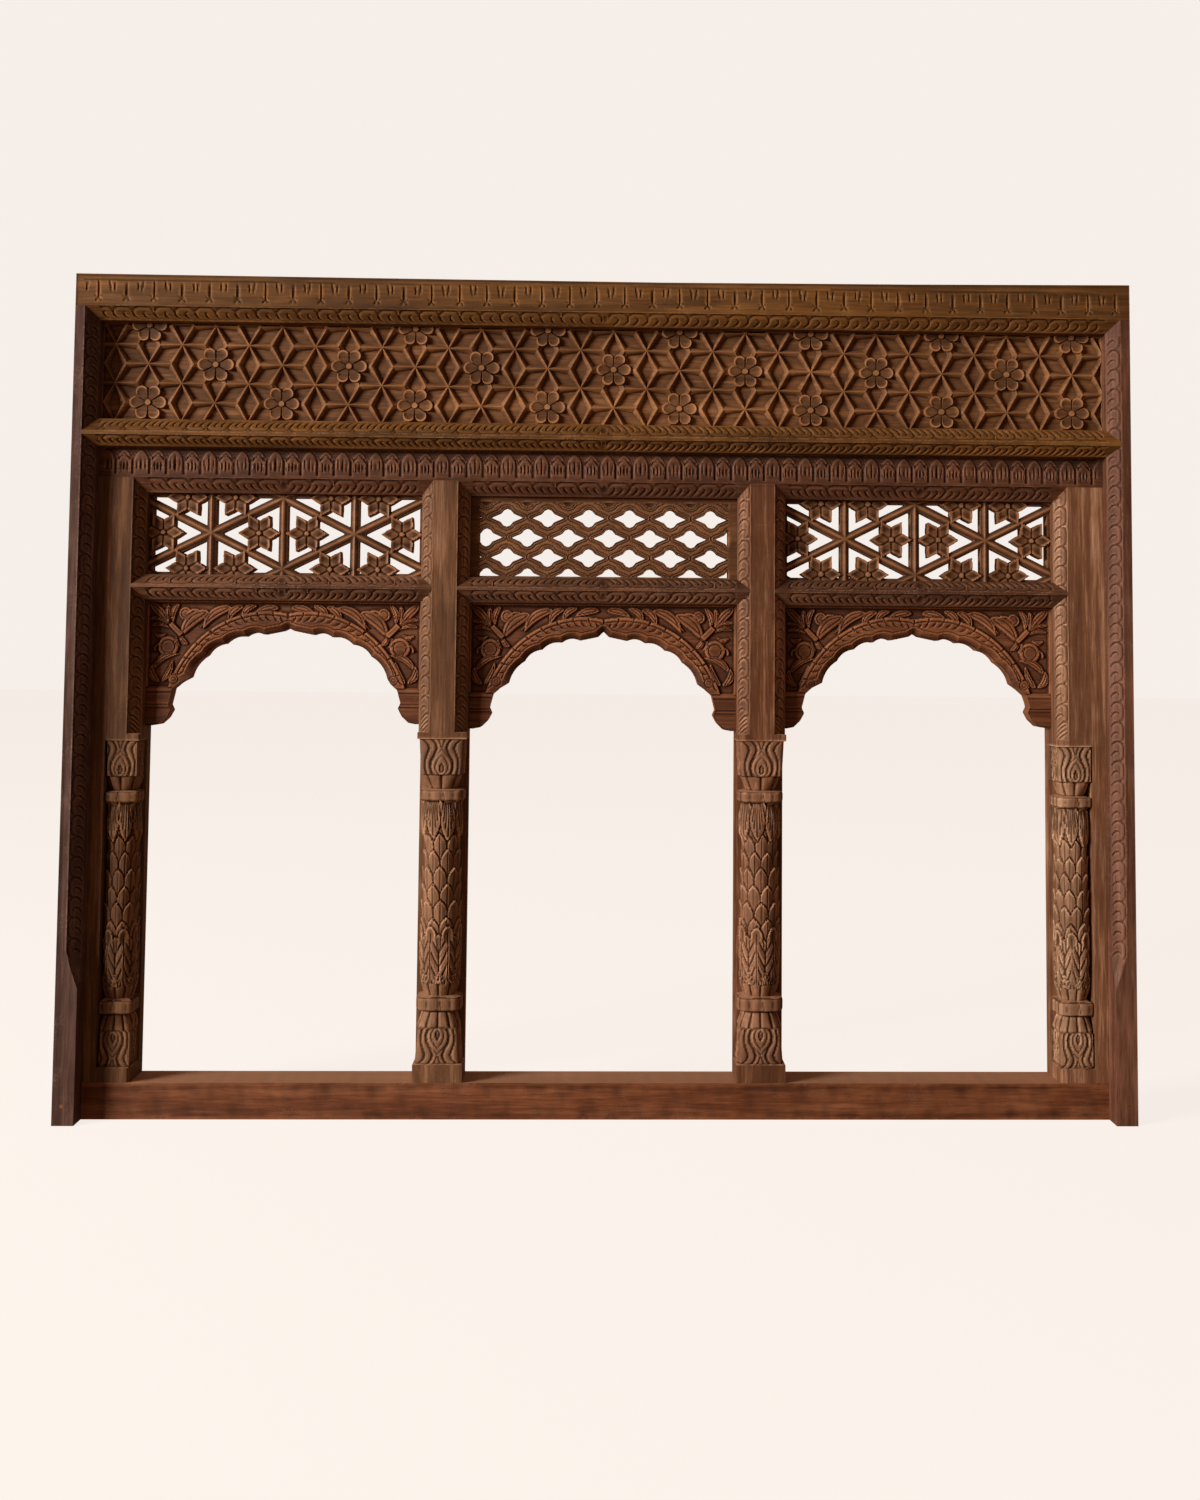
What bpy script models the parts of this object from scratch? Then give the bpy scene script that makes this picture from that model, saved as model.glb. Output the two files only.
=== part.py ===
"""Carved arched window: a three-bay timber frame with arch boards under pierced screens.

Metres, +Z up, +X to the viewer's right, the carved front faces -Y, back at y = +0.0635.
"""
import math

import bmesh
import bpy
from mathutils import Vector

# ---- overall frame -------------------------------------------------------
WIDTH = 1.900
HEAD_TOP = [(-0.950, 1.4960), (-0.450, 1.4950), (0.100, 1.4945), (0.550, 1.4975), (0.950, 1.5020)]
FRONT = -0.0635          # front plane of the jambs, head rail and transom
INNER = -0.0215          # front plane of the posts, frieze rail, cross rails, sill
BACK = 0.0635
GAP = 0.0003             # clearance left between neighbouring pieces

# ---- jambs and head ------------------------------------------------------
JAMB_INNER = 0.912       # x of the jamb's inner face
JAMB_ARRIS = 0.933       # x where the jamb's plain face meets its chamfer
CHAMFER = 0.022          # depth of the big front chamfers
HEAD_ARRIS = 1.4386
HEAD_SOFFIT = 1.4166
STOP_TIP = 0.235         # foot of the jamb's chamfer stop
STOP_TOP = 0.300

# ---- star panel ----------------------------------------------------------
PANEL_FRONT = -0.0190
PANEL_BACK = 0.0220
PANEL_FLOOR = 0.0090     # depth of the sunk lozenges
LATTICE_X = 0.0602       # spacing of the star columns
LATTICE_Z = 0.0705       # spacing of the stars within a column
LATTICE_ORIGIN = (0.0134, 1.2723)
RIB_HALF = 0.0052
ROSETTE_NOTCH = 0.0215   # how far the pits keep clear of a rosette's middle
ROSETTE_EVERY = 4        # rosettes stand on every fourth column

# ---- rails ---------------------------------------------------------------
TRANSOM = (1.1894, 1.2073, 1.2142, 1.2382)
FRIEZE_SOFFIT = 1.1102
FRIEZE_ARRIS = 1.1359
POST_CHAMFER = 0.020
CROSS = (0.9160, 0.9378, 0.9432, 0.9620)
SILL_TOP = 0.0637

# ---- posts ---------------------------------------------------------------
POST_LEFT = -0.2890      # centres of the two middle posts
POST_RIGHT = 0.2865
POST_HALF = 0.044
POST_FACE = 0.0223       # half width of a middle post's plain front
POST_1_EDGE = -0.8290    # bay side of the two outer posts
POST_4_EDGE = 0.8235
SIDE_FACE = 0.0215       # width of an outer post's chamfer, measured along X
SIDE_STRIP = 0.8880      # plain strip beside an outer column starts here
SIDE_COLUMN = 0.88       # the outer columns are narrower
SIDE_SHIFT = 0.002       # and stand a little nearer to their strip
SIDE_DROP = 0.0065       # and all their members sit lower
GROOVE = 0.0012          # least gap between an outer column and its strip
SLAB_FRONT = 0.0385      # front of the plank behind each column
COLUMN_Y = 0.0170
SQUARE_FOOT = 0.6695
SQUARE_STOP = 0.0115     # height of the unchamfered band at the foot of a post's square part
# column turning: z, half width, forward reach, squareness (2 is round)
COLUMN = [
    (0.6680, 0.0435, 0.0380, 8), (0.6065, 0.0405, 0.0375, 8),
    (0.6040, 0.0360, 0.0340, 3), (0.5800, 0.0275, 0.0290, 2),
    (0.5775, 0.0412, 0.0375, 4), (0.5600, 0.0412, 0.0375, 4),
    (0.5560, 0.0370, 0.0350, 2), (0.5350, 0.0405, 0.0385, 2),
    (0.5000, 0.0385, 0.0380, 2), (0.4935, 0.0350, 0.0340, 2),
    (0.4200, 0.0370, 0.0365, 2), (0.3450, 0.0385, 0.0385, 2),
    (0.2850, 0.0395, 0.0385, 2), (0.2360, 0.0370, 0.0365, 2),
    (0.2135, 0.0290, 0.0290, 2), (0.2110, 0.0415, 0.0375, 4),
    (0.1880, 0.0415, 0.0375, 4), (0.1860, 0.0320, 0.0310, 2),
    (0.1590, 0.0405, 0.0370, 3), (0.1560, 0.0390, 0.0370, 8),
    (0.0960, 0.0435, 0.0380, 8),
]
BLOCK_FOOT = 0.0948

# ---- screens -------------------------------------------------------------
SCREEN_FRONT = 0.0120
SCREEN_BACK = 0.0400
SCREEN_MID = 1.0390
STAR_BAR = 0.0065        # half width of a star screen's bars
STAR_DX = 0.1300         # spacing of its upright bars
STAR_DZ = 0.0650         # half the spacing of its crossings
STAR_R = 0.0385
STAR_NOTCH = 0.0180
STAR_CENTRE = (-0.5870, 0.5720)
SCREEN_EDGE = 0.0050
WAVE_DX = 0.0750
WAVE_DZ = 0.0365
WAVE_X0 = 0.0080
WAVE_MARGIN = 0.0130
WAVE_LOBES = [(0.0310, 0.0), (0.0115, 0.0085), (0.0062, 0.0150), (0.0, 0.0175)]

# ---- arch boards ---------------------------------------------------------
ARCH_FRONT = 0.0180
ARCH_BACK = 0.0560
ARCH_RADIUS = 0.140       # the bevel runs towards a centre this far below the cusps' level
# middle of each arch, level its cusps are measured from, and how far its tip stays below that
ARCH_AT = {-1: (-0.5750, 0.8715, 0.0045), 0: (0.0, 0.8655, 0.0), 1: (0.5715, 0.8705, 0.0035)}
# hand-cut halves differ: stretch of cusps, stretch of bracket, height of the bracket's foot
ARCH_HALVES = {-1: ((1.020, 1.028, 0.6885), (1.045, 0.990, 0.6940)),
               0: ((1.000, 1.000, 0.6870), (1.000, 0.988, 0.6855)),
               1: ((0.980, 1.000, 0.6910), (1.040, 1.026, 0.6950))}
# cusps measured sideways and down, bracket edge sideways and up from its foot
CUSPS = [(0.0433, 0.0168), (0.0765, 0.0208), (0.1127, 0.0340), (0.1447, 0.0555), (0.1735, 0.0955)]
SHOULDER = [(0.1890, 0.1050), (0.2015, 0.1160)]
BRACKET = [(0.2060, 0.0460), (0.2080, 0.0380), (0.2035, 0.0280), (0.2110, 0.0140), (0.2230, 0.0025)]
BRACKET_SIDE = 0.236
FOIL_RISE = 0.0052        # how far each scallop bows out between two cusps
ARCH_BEVEL = 0.0115       # width of the hollow slope round the cusped edge
ARCH_SLOPE = 0.0100       # how far back that slope runs
SPANDREL_SINK = 0.0040

# ---- pegs ----------------------------------------------------------------
PEG_R = 0.0060
PEG_DOME = 0.0015
PEG_DEPTH = 0.030
PEG_AT = (0.9330, 0.0330)

BROWN = (0.230, 0.105, 0.050)
GOLD = (0.235, 0.118, 0.052)
PLUM = (0.190, 0.085, 0.055)
RED = (0.250, 0.095, 0.048)

ALONG = {
    "x": lambda a, b, t: (t, a, b),
    "y": lambda a, b, t: (a, t, b),
    "z": lambda a, b, t: (a, b, t),
}


# ---- building blocks -----------------------------------------------------
def clear_scene():
    """Empty the scene of objects."""
    for obj in list(bpy.data.objects):
        bpy.data.objects.remove(obj, do_unlink=True)


def loft(rings):
    """Close a stack of equal-length rings into one solid."""
    bm = bmesh.new()
    rows = [[bm.verts.new(p) for p in ring] for ring in rings]
    count = len(rows[0])
    for low, high in zip(rows, rows[1:]):
        for i in range(count):
            j = (i + 1) % count
            bm.faces.new((low[i], low[j], high[j], high[i]))
    bm.faces.new(rows[0])
    bm.faces.new(rows[-1])
    bmesh.ops.recalc_face_normals(bm, faces=bm.faces)
    return bm


def prism(axis, outline, low, high):
    """Extrude a flat outline along one axis."""
    place = ALONG[axis]
    return loft([[place(a, b, low) for a, b in outline], [place(a, b, high) for a, b in outline]])


def as_object(bm, name):
    """Turn a bmesh into a linked object."""
    mesh = bpy.data.meshes.new(name)
    bmesh.ops.recalc_face_normals(bm, faces=bm.faces)
    bm.to_mesh(mesh)
    bm.free()
    obj = bpy.data.objects.new(name, mesh)
    bpy.context.scene.collection.objects.link(obj)
    return obj


def combine(first, second, operation):
    """Exact boolean of two bmeshes, handed back as a bmesh."""
    body = as_object(first, "work_body")
    tool = as_object(second, "work_tool")
    tool.hide_render = True
    tool.display_type = "WIRE"
    step = body.modifiers.new("step", "BOOLEAN")
    step.operation = operation
    step.solver = "EXACT"
    step.object = tool
    graph = bpy.context.evaluated_depsgraph_get()
    mesh = bpy.data.meshes.new_from_object(body.evaluated_get(graph))
    result = bmesh.new()
    result.from_mesh(mesh)
    for obj in (body, tool):
        bpy.data.objects.remove(obj, do_unlink=True)
    bpy.data.meshes.remove(mesh)
    return result


def merge(parts):
    """Put separate closed shells into one bmesh."""
    whole = bmesh.new()
    for part in parts:
        mesh = bpy.data.meshes.new("work_mesh")
        part.to_mesh(mesh)
        part.free()
        whole.from_mesh(mesh)
        bpy.data.meshes.remove(mesh)
    return whole


def timber_colour(name, colour, roughness):
    """A plain wood-coloured material of the piece's own."""
    material = bpy.data.materials.new(name + "_wood")
    material.use_nodes = True
    shader = material.node_tree.nodes["Principled BSDF"]
    shader.inputs["Base Color"].default_value = (*colour, 1.0)
    shader.inputs["Roughness"].default_value = roughness
    shader.inputs["Metallic"].default_value = 0.0
    return material


def piece(bm, name, colour, roughness=0.62):
    """Clean a solid, triangulate it and store it as a named part."""
    bmesh.ops.remove_doubles(bm, verts=bm.verts, dist=0.00001)
    bmesh.ops.dissolve_degenerate(bm, edges=bm.edges, dist=0.00001)
    bmesh.ops.dissolve_limit(bm, angle_limit=0.0005, verts=bm.verts, edges=bm.edges)
    bmesh.ops.triangulate(bm, faces=bm.faces)
    obj = as_object(bm, name)
    obj.data.materials.append(timber_colour(name, colour, roughness))
    return obj


def mirrored(points):
    """The same outline on the other side of x = 0."""
    return [(-a, b) for a, b in reversed(points)]


# ---- jambs, head, transom ------------------------------------------------
def chamfer_cutter():
    """Waste wood of a jamb's chamfer, with a swept stop at its foot."""
    steps = [(STOP_TIP, 0.03), (0.252, 0.32), (0.272, 0.66), (STOP_TOP, 1.0), (1.6, 1.0)]
    proud = 0.001
    rings = []
    for z, grow in steps:
        leg_x = (JAMB_ARRIS - JAMB_INNER) * grow
        leg_y = CHAMFER * grow
        corner = (JAMB_INNER - proud, FRONT - proud)
        rings.append([(corner[0], corner[1], z),
                      (JAMB_INNER + leg_x + proud * leg_x / leg_y, corner[1], z),
                      (corner[0], FRONT + leg_y + proud * leg_y / leg_x, z)])
    return loft(rings)


def jamb(side):
    """Upright at one side, square at the foot and mitred to the head at the top."""
    top = HEAD_ARRIS - GAP
    slope = (HEAD_ARRIS - HEAD_SOFFIT) / (JAMB_ARRIS - JAMB_INNER)
    face = [(JAMB_INNER, 0.0), (WIDTH / 2, 0.0), (WIDTH / 2, top), (JAMB_ARRIS, top),
            (JAMB_INNER, top - slope * (JAMB_ARRIS - JAMB_INNER))]
    solid = combine(prism("y", face, FRONT, BACK), chamfer_cutter(), "DIFFERENCE")
    solid = combine(solid, peg_hole(), "DIFFERENCE")
    if side < 0:
        bmesh.ops.scale(solid, vec=Vector((-1, 1, 1)), verts=solid.verts)
    return piece(solid, "left_jamb" if side < 0 else "right_jamb", PLUM)


def peg_outline(radius, count=8):
    """Round outline of the peg in a jamb's foot."""
    steps = [2 * math.pi * i / count for i in range(count)]
    return [(PEG_AT[0] + radius * math.cos(t), PEG_AT[1] + radius * math.sin(t)) for t in steps]


def peg_hole():
    """Blind hole the peg sits in."""
    return prism("y", peg_outline(PEG_R + GAP), FRONT - 0.01, FRONT + PEG_DEPTH + GAP)


def peg(side):
    """Short domed peg driven into a jamb's foot, flush with its front."""
    rings = []
    for y, radius in [(FRONT + PEG_DEPTH, PEG_R), (FRONT + PEG_DOME, PEG_R), (FRONT, PEG_R * 0.55)]:
        rings.append([(side * x, y, z) for x, z in peg_outline(radius)])
    return piece(loft(rings), "left_peg" if side < 0 else "right_peg", BROWN)


def head_rail():
    """Top rail over both jambs, its lower chamfer mitred between them."""
    under = [(WIDTH / 2, HEAD_ARRIS), (JAMB_ARRIS, HEAD_ARRIS), (JAMB_INNER, HEAD_SOFFIT)]
    section = [(FRONT, 1.6), (FRONT, HEAD_ARRIS), (FRONT + CHAMFER, HEAD_SOFFIT),
               (BACK, HEAD_SOFFIT), (BACK, 1.6)]
    face = HEAD_TOP + under + mirrored(under)
    solid = combine(prism("x", section, -1.0, 1.0), prism("y", face, -0.1, 0.1), "INTERSECT")
    return piece(solid, "head_rail", GOLD)


def transom():
    """Ridged rail under the star panel, its points cut over the jamb chamfers."""
    low, ridge_low, ridge_high, high = TRANSOM
    section = [(FRONT, ridge_low), (FRONT, ridge_high), (FRONT + CHAMFER, high), (BACK, high),
               (BACK, low), (FRONT + CHAMFER, low)]
    plan = [(JAMB_ARRIS - GAP, FRONT), (JAMB_INNER - GAP, FRONT + CHAMFER), (JAMB_INNER - GAP, BACK)]
    plan = plan + mirrored(plan)
    solid = combine(prism("x", section, -1.0, 1.0), prism("z", plan, 1.0, 1.4), "INTERSECT")
    return piece(solid, "transom", GOLD)


def frieze_rail():
    """Rail of the bays' heads, chamfered along its lower front edge."""
    high = TRANSOM[0] - GAP
    section = [(INNER, high), (INNER, FRIEZE_ARRIS), (INNER + POST_CHAMFER, FRIEZE_SOFFIT),
               (BACK, FRIEZE_SOFFIT), (BACK, high)]
    edge = JAMB_INNER - GAP
    return piece(prism("x", section, -edge, edge), "frieze_rail", BROWN)


def sill():
    """Plain bottom rail between the jambs."""
    section = [(INNER, 0.0), (INNER, SILL_TOP), (BACK, SILL_TOP), (BACK, 0.0)]
    edge = JAMB_INNER - GAP
    return piece(prism("x", section, -edge, edge), "sill", RED)


# ---- cross rails ---------------------------------------------------------
def bay_edges(bay):
    """Plan positions of one bay: left and right faces, then both arrises."""
    if bay < 0:
        return (POST_1_EDGE, POST_LEFT - POST_HALF, POST_1_EDGE - SIDE_FACE, POST_LEFT - POST_FACE)
    if bay > 0:
        return (POST_RIGHT + POST_HALF, POST_4_EDGE, POST_RIGHT + POST_FACE, POST_4_EDGE + SIDE_FACE)
    return (POST_LEFT + POST_HALF, POST_RIGHT - POST_HALF, POST_LEFT + POST_FACE, POST_RIGHT - POST_FACE)


def cross_rail(bay, name):
    """Ridged rail across one bay, pointed over the post chamfers."""
    low, ridge_low, ridge_high, high = CROSS
    left, right, left_tip, right_tip = bay_edges(bay)
    back_of_chamfer = INNER + POST_CHAMFER
    section = [(INNER, ridge_low), (INNER, ridge_high), (back_of_chamfer, high), (BACK, high),
               (BACK, low), (back_of_chamfer, low)]
    plan = [(left_tip + GAP, INNER), (right_tip - GAP, INNER), (right - GAP, back_of_chamfer),
            (right - GAP, BACK), (left + GAP, BACK), (left + GAP, back_of_chamfer)]
    solid = combine(prism("x", section, -1.0, 1.0), prism("z", plan, 0.8, 1.1), "INTERSECT")
    return piece(solid, name, BROWN)


# ---- posts ---------------------------------------------------------------
def post_top(y):
    """Height of the frieze rail's underside above a point of the post."""
    rise = (FRIEZE_ARRIS - FRIEZE_SOFFIT) / POST_CHAMFER
    return FRIEZE_SOFFIT - GAP + rise * max(0.0, INNER + POST_CHAMFER - y)


def square_front(left, right, left_face, right_face, chamfer=POST_CHAMFER):
    """Nine front points of a post's square part, from right to left."""
    ledge = INNER + chamfer
    middle = (left_face + right_face) / 2
    return [(right, SLAB_FRONT), (right, 0.018), (right, ledge), (right_face, INNER), (middle, INNER),
            (left_face, INNER), (left, ledge), (left, 0.018), (left, SLAB_FRONT)]


def column_front(centre, half, reach, power):
    """Nine front points of the column, round or squarish, from right to left."""
    points = []
    for i in range(9):
        turn = math.radians(-34 + 31 * i)
        across, ahead = math.cos(turn), math.sin(turn)
        x = centre + half * math.copysign(abs(across) ** (2 / power), across)
        y = COLUMN_Y - reach * math.copysign(abs(ahead) ** (2 / power), ahead)
        points.append((x, y))
    points[0] = (points[0][0], SLAB_FRONT)
    points[-1] = (points[-1][0], SLAB_FRONT)
    return points


def post_ring(z, left, right, front, corner_y):
    """One closed section through plank and column."""
    ring = [(left, BACK, z), (right, BACK, z), (right, corner_y, z)]
    ring += [(x, y, z) for x, y in front]
    return ring + [(left, corner_y, z)]


def block_front(left, right):
    """Nine front points of a plain square foot, from right to left."""
    ledge = INNER + POST_CHAMFER
    middle = (left + right) / 2
    return [(right, SLAB_FRONT), (right, 0.018), (right, ledge), (right, INNER), (middle, INNER),
            (left, INNER), (left, ledge), (left, 0.018), (left, SLAB_FRONT)]


def post_rings(middle):
    """Every section of a middle post from its foot to its sloping top."""
    left, right = middle - POST_HALF, middle + POST_HALF
    square = square_front(left, right, middle - POST_FACE, middle + POST_FACE)
    foot = block_front(left, right)
    mid_side = (BACK + SLAB_FRONT) / 2
    rings = [post_ring(SILL_TOP + GAP, left, right, foot, mid_side),
             post_ring(BLOCK_FOOT, left, right, foot, mid_side)]
    for z, half, reach, power in reversed(COLUMN):
        front = column_front(middle, half, reach, power)
        rings.append(post_ring(z, left, right, front, SLAB_FRONT))
    band = square_front(left, right, left + 0.001, right - 0.001, 0.001)
    rings.append(post_ring(SQUARE_FOOT, left, right, band, mid_side))
    rings.append(post_ring(SQUARE_FOOT + SQUARE_STOP, left, right, band, mid_side))
    rings.append(post_ring(SQUARE_FOOT + SQUARE_STOP + 0.001, left, right, square, mid_side))
    rings.append([(x, y, post_top(y)) for x, y, _ in post_ring(0.0, left, right, square, mid_side)])
    return rings


def side_ring(z, edge, front, slot_x, slot_y, corner_y):
    """One closed section of the right-hand outer post; its outer strip keeps the full depth."""
    outer = JAMB_INNER - GAP
    ring = [(edge, BACK, z), (outer, BACK, z), (outer, INNER + POST_CHAMFER, z), (outer, INNER, z),
            (SIDE_STRIP, INNER, z), (slot_x, slot_y, z)]
    ring += [(x, y, z) for x, y in front]
    return ring + [(edge, corner_y, z)]


def side_front(edge, arris, ledge):
    """Nine front points of an outer post's solid parts, from its strip to the bay."""
    across = [SIDE_STRIP - 2 * GROOVE + (arris - SIDE_STRIP + 2 * GROOVE) * i / 5 for i in range(6)]
    return [(x, INNER) for x in across] + [(edge, ledge), (edge, 0.018), (edge, SLAB_FRONT)]


def side_rings(edge):
    """Every section of the right-hand outer post; edge is its bay side."""
    centre = (edge + SIDE_STRIP) / 2 + SIDE_SHIFT
    square = side_front(edge, edge + SIDE_FACE, INNER + POST_CHAMFER)
    foot = side_front(edge, edge + 0.005, INNER + 0.010)
    mid_side = (BACK + SLAB_FRONT) / 2
    flush = (SIDE_STRIP - GROOVE, INNER)
    rings = [side_ring(z, edge, foot, *flush, mid_side) for z in (SILL_TOP + GAP, BLOCK_FOOT - SIDE_DROP)]
    for z, half, reach, power in reversed(COLUMN):
        front = [(min(max(x, edge + 0.0006), SIDE_STRIP - GROOVE), y)
                 for x, y in column_front(centre, half * SIDE_COLUMN, reach, power)]
        rings.append(side_ring(z - SIDE_DROP, edge, front, SIDE_STRIP, SLAB_FRONT, SLAB_FRONT))
    foot_of_square = SQUARE_FOOT - SIDE_DROP
    band = side_front(edge, edge + 0.001, INNER + 0.001)
    for z, front in ((foot_of_square, band), (foot_of_square + SQUARE_STOP, band),
                     (foot_of_square + SQUARE_STOP + 0.001, square)):
        rings.append(side_ring(z, edge, front, *flush, mid_side))
    rings.append([(x, y, post_top(y)) for x, y, _ in side_ring(0.0, edge, square, *flush, mid_side)])
    return rings


def skinned(rings, tops):
    """Solid through all rings; tops lists the corners of each flat face of its upper end."""
    bm = bmesh.new()
    rows = [[bm.verts.new(p) for p in ring] for ring in rings]
    count = len(rows[0])
    for low, high in zip(rows, rows[1:]):
        for i in range(count):
            j = (i + 1) % count
            bm.faces.new((low[i], low[j], high[j], high[i]))
    bm.faces.new(rows[0])
    for top in tops:
        bm.faces.new([rows[-1][i] for i in top])
    return bm


def posts():
    """The four posts from left to right."""
    flat, slope = (0, 1, 2, 12, 13, 14, 15), tuple(range(2, 13))
    mirror_image = skinned(side_rings(-POST_1_EDGE), (flat, slope))
    for v in mirror_image.verts:
        v.co.x = -v.co.x
    bmesh.ops.reverse_faces(mirror_image, faces=mirror_image.faces)
    piece(mirror_image, "post_1", BROWN)
    for name, middle in (("post_2", POST_LEFT), ("post_3", POST_RIGHT)):
        piece(skinned(post_rings(middle), ((0, 1, 2, 3, 4, 5, 9, 10, 11, 12), (5, 6, 7, 8, 9))), name, BROWN)
    piece(skinned(side_rings(POST_4_EDGE), (flat, slope)), "post_4", BROWN)


# ---- flat lattices -------------------------------------------------------
def clip(polygon, normal, offset):
    """Keep the part of a polygon where normal . p <= offset."""
    kept = []
    for i, here in enumerate(polygon):
        after = polygon[(i + 1) % len(polygon)]
        d0 = normal[0] * here[0] + normal[1] * here[1] - offset
        d1 = normal[0] * after[0] + normal[1] * after[1] - offset
        if d0 <= 1e-9:
            kept.append(here)
        if (d0 < -1e-9 and d1 > 1e-9) or (d0 > 1e-9 and d1 < -1e-9):
            t = d0 / (d0 - d1)
            kept.append((here[0] + t * (after[0] - here[0]), here[1] + t * (after[1] - here[1])))
    return kept


def clip_to(polygon, box):
    """Clip a polygon to a rectangle (x0, z0, x1, z1)."""
    for normal, offset in (((-1, 0), -box[0]), ((0, -1), -box[1]), ((1, 0), box[2]), ((0, 1), box[3])):
        polygon = clip(polygon, normal, offset)
    return polygon


def area(polygon):
    """Signed area of a polygon."""
    total = 0.0
    for (ax, az), (bx, bz) in zip(polygon, polygon[1:] + polygon[:1]):
        total += ax * bz - bx * az
    return total / 2


def on_border(a, b, box):
    """True for an edge that lies along the rectangle's own border."""
    on_x = abs(a[0] - b[0]) < 1e-7 and min(abs(a[0] - box[0]), abs(a[0] - box[2])) < 1e-7
    on_z = abs(a[1] - b[1]) < 1e-7 and min(abs(a[1] - box[1]), abs(a[1] - box[3])) < 1e-7
    return on_x or on_z


def shrink(polygon, box, inner, border):
    """Inset a convex polygon, by another step along the rectangle's border."""
    result = list(polygon)
    for (ax, az), (bx, bz) in zip(polygon, polygon[1:] + polygon[:1]):
        length = math.hypot(bx - ax, bz - az)
        normal = ((bz - az) / length, -(bx - ax) / length)
        step = border if on_border((ax, az), (bx, bz), box) else inner
        result = clip(result, normal, normal[0] * ax + normal[1] * az - step)
    return result


def usable(polygon, smallest):
    """True for a cell worth cutting."""
    return len(polygon) >= 3 and area(polygon) > smallest


class Sheet:
    """Welds cells into one board by keying vertices on their rounded place."""

    def __init__(self):
        self.bm = bmesh.new()
        self.verts = {}

    def vert(self, x, y, z):
        key = (round(x, 6), round(y, 6), round(z, 6))
        if key not in self.verts:
            self.verts[key] = self.bm.verts.new((x, y, z))
        return self.verts[key]

    def face(self, points):
        verts = []
        for point in points:
            vert = self.vert(*point)
            if vert not in verts:
                verts.append(vert)
        if len(verts) >= 3:
            self.bm.faces.new(verts)


def cell_rim(sheet, outer, inner, y_outer, y_inner):
    """Sloping faces between a cell's edge and its inset, matched side by side."""
    pairs = list(zip(outer, outer[1:] + outer[:1]))
    strips = list(zip(inner, inner[1:] + inner[:1]))
    for (a, b), (c, d) in zip(pairs, strips):
        sheet.face([(a[0], y_outer, a[1]), (b[0], y_outer, b[1]), (d[0], y_inner, d[1]),
                    (c[0], y_inner, c[1])])


def sunk_floor(cell, box):
    """Floor of a pit: the cell drawn in towards its middle by the rib's half width."""
    mx = sum(x for x, _ in cell) / len(cell)
    mz = sum(z for _, z in cell) / len(cell)
    nearest = 1.0
    for (ax, az), (bx, bz) in zip(cell, cell[1:] + cell[:1]):
        if on_border((ax, az), (bx, bz), box):
            continue
        length = math.hypot(bx - ax, bz - az)
        nearest = min(nearest, abs((bz - az) * (mx - ax) - (bx - ax) * (mz - az)) / length)
    keep = max(0.25, 1 - RIB_HALF / nearest)
    return [(mx + keep * (x - mx), mz + keep * (z - mz)) for x, z in cell]


# ---- star panel ----------------------------------------------------------
def lozenges(box):
    """Lozenge cells of the star lattice that reach into a rectangle."""
    cells = []
    edge = LATTICE_X * 2 / 3
    for column in range(-18, 19):
        x = LATTICE_ORIGIN[0] + LATTICE_X * (column + 2)
        for row in range(-2, 4):
            z = LATTICE_ORIGIN[1] + LATTICE_Z * (row + (0.5 if column % 2 else 0.0))
            half, third = LATTICE_Z / 2, edge / 2
            shapes = [
                [(x, z), (x + third, z + half), (x, z + 2 * half), (x - third, z + half)],
                [(x, z), (x + edge, z), (x + edge + third, z + half), (x + third, z + half)],
                [(x, z), (x - third, z + half), (x - edge - third, z + half), (x - edge, z)],
            ]
            for shape in shapes:
                cell = clip_to(shape, box)
                if usable(cell, 1e-8):
                    cells.append(cell)
    return cells


def rosette_places():
    """Centres of the six-petalled rosettes, in two rows and a cut row on top."""
    places = []
    step = LATTICE_X * ROSETTE_EVERY
    x0, z0 = LATTICE_ORIGIN
    for i in range(8):
        x = x0 + step * (i - 3.5)
        places.append((x, z0))
        if i != 1:
            places.append((x, z0 + 2 * LATTICE_Z))
        if i < 7:
            places.append((x + step / 2, z0 + LATTICE_Z))
    return places


def star_outline(x, z, tip, notch, box):
    """Six-pointed outline clipped to the board."""
    points = []
    for i in range(12):
        reach = notch if i % 2 else tip
        turn = math.radians(30 * i)
        points.append((x + reach * math.cos(turn), z + reach * math.sin(turn)))
    return clip_to(points, box)


def near(a, b):
    """True when two flat points coincide."""
    return math.hypot(a[0] - b[0], a[1] - b[1]) < 1e-5


def rosette_floor(cell, floor, places):
    """Draw a pit's corner back from any rosette it touches, leaving the petals standing."""
    mx = sum(x for x, _ in floor) / len(floor)
    mz = sum(z for _, z in floor) / len(floor)
    result = []
    for corner, inner in zip(cell, floor):
        if any(near(corner, place) for place in places):
            reach = math.hypot(mx - corner[0], mz - corner[1])
            step = min(0.8, ROSETTE_NOTCH / reach)
            inner = (corner[0] + step * (mx - corner[0]), corner[1] + step * (mz - corner[1]))
        result.append(inner)
    return result


def star_panel():
    """Sunk-lozenge board with standing ribs and rosettes."""
    edge = JAMB_INNER - GAP
    box = (-edge, TRANSOM[3] + GAP, edge, HEAD_SOFFIT - GAP)
    places = rosette_places()
    sheet = Sheet()
    for cell in lozenges(box):
        floor = rosette_floor(cell, sunk_floor(cell, box), places)
        cell_rim(sheet, cell, floor, PANEL_FRONT, PANEL_FRONT + PANEL_FLOOR)
        sheet.face([(x, PANEL_FRONT + PANEL_FLOOR, z) for x, z in floor])
    close_board(sheet, box, PANEL_FRONT, PANEL_BACK)
    return piece(sheet.bm, "star_panel", GOLD)


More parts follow.
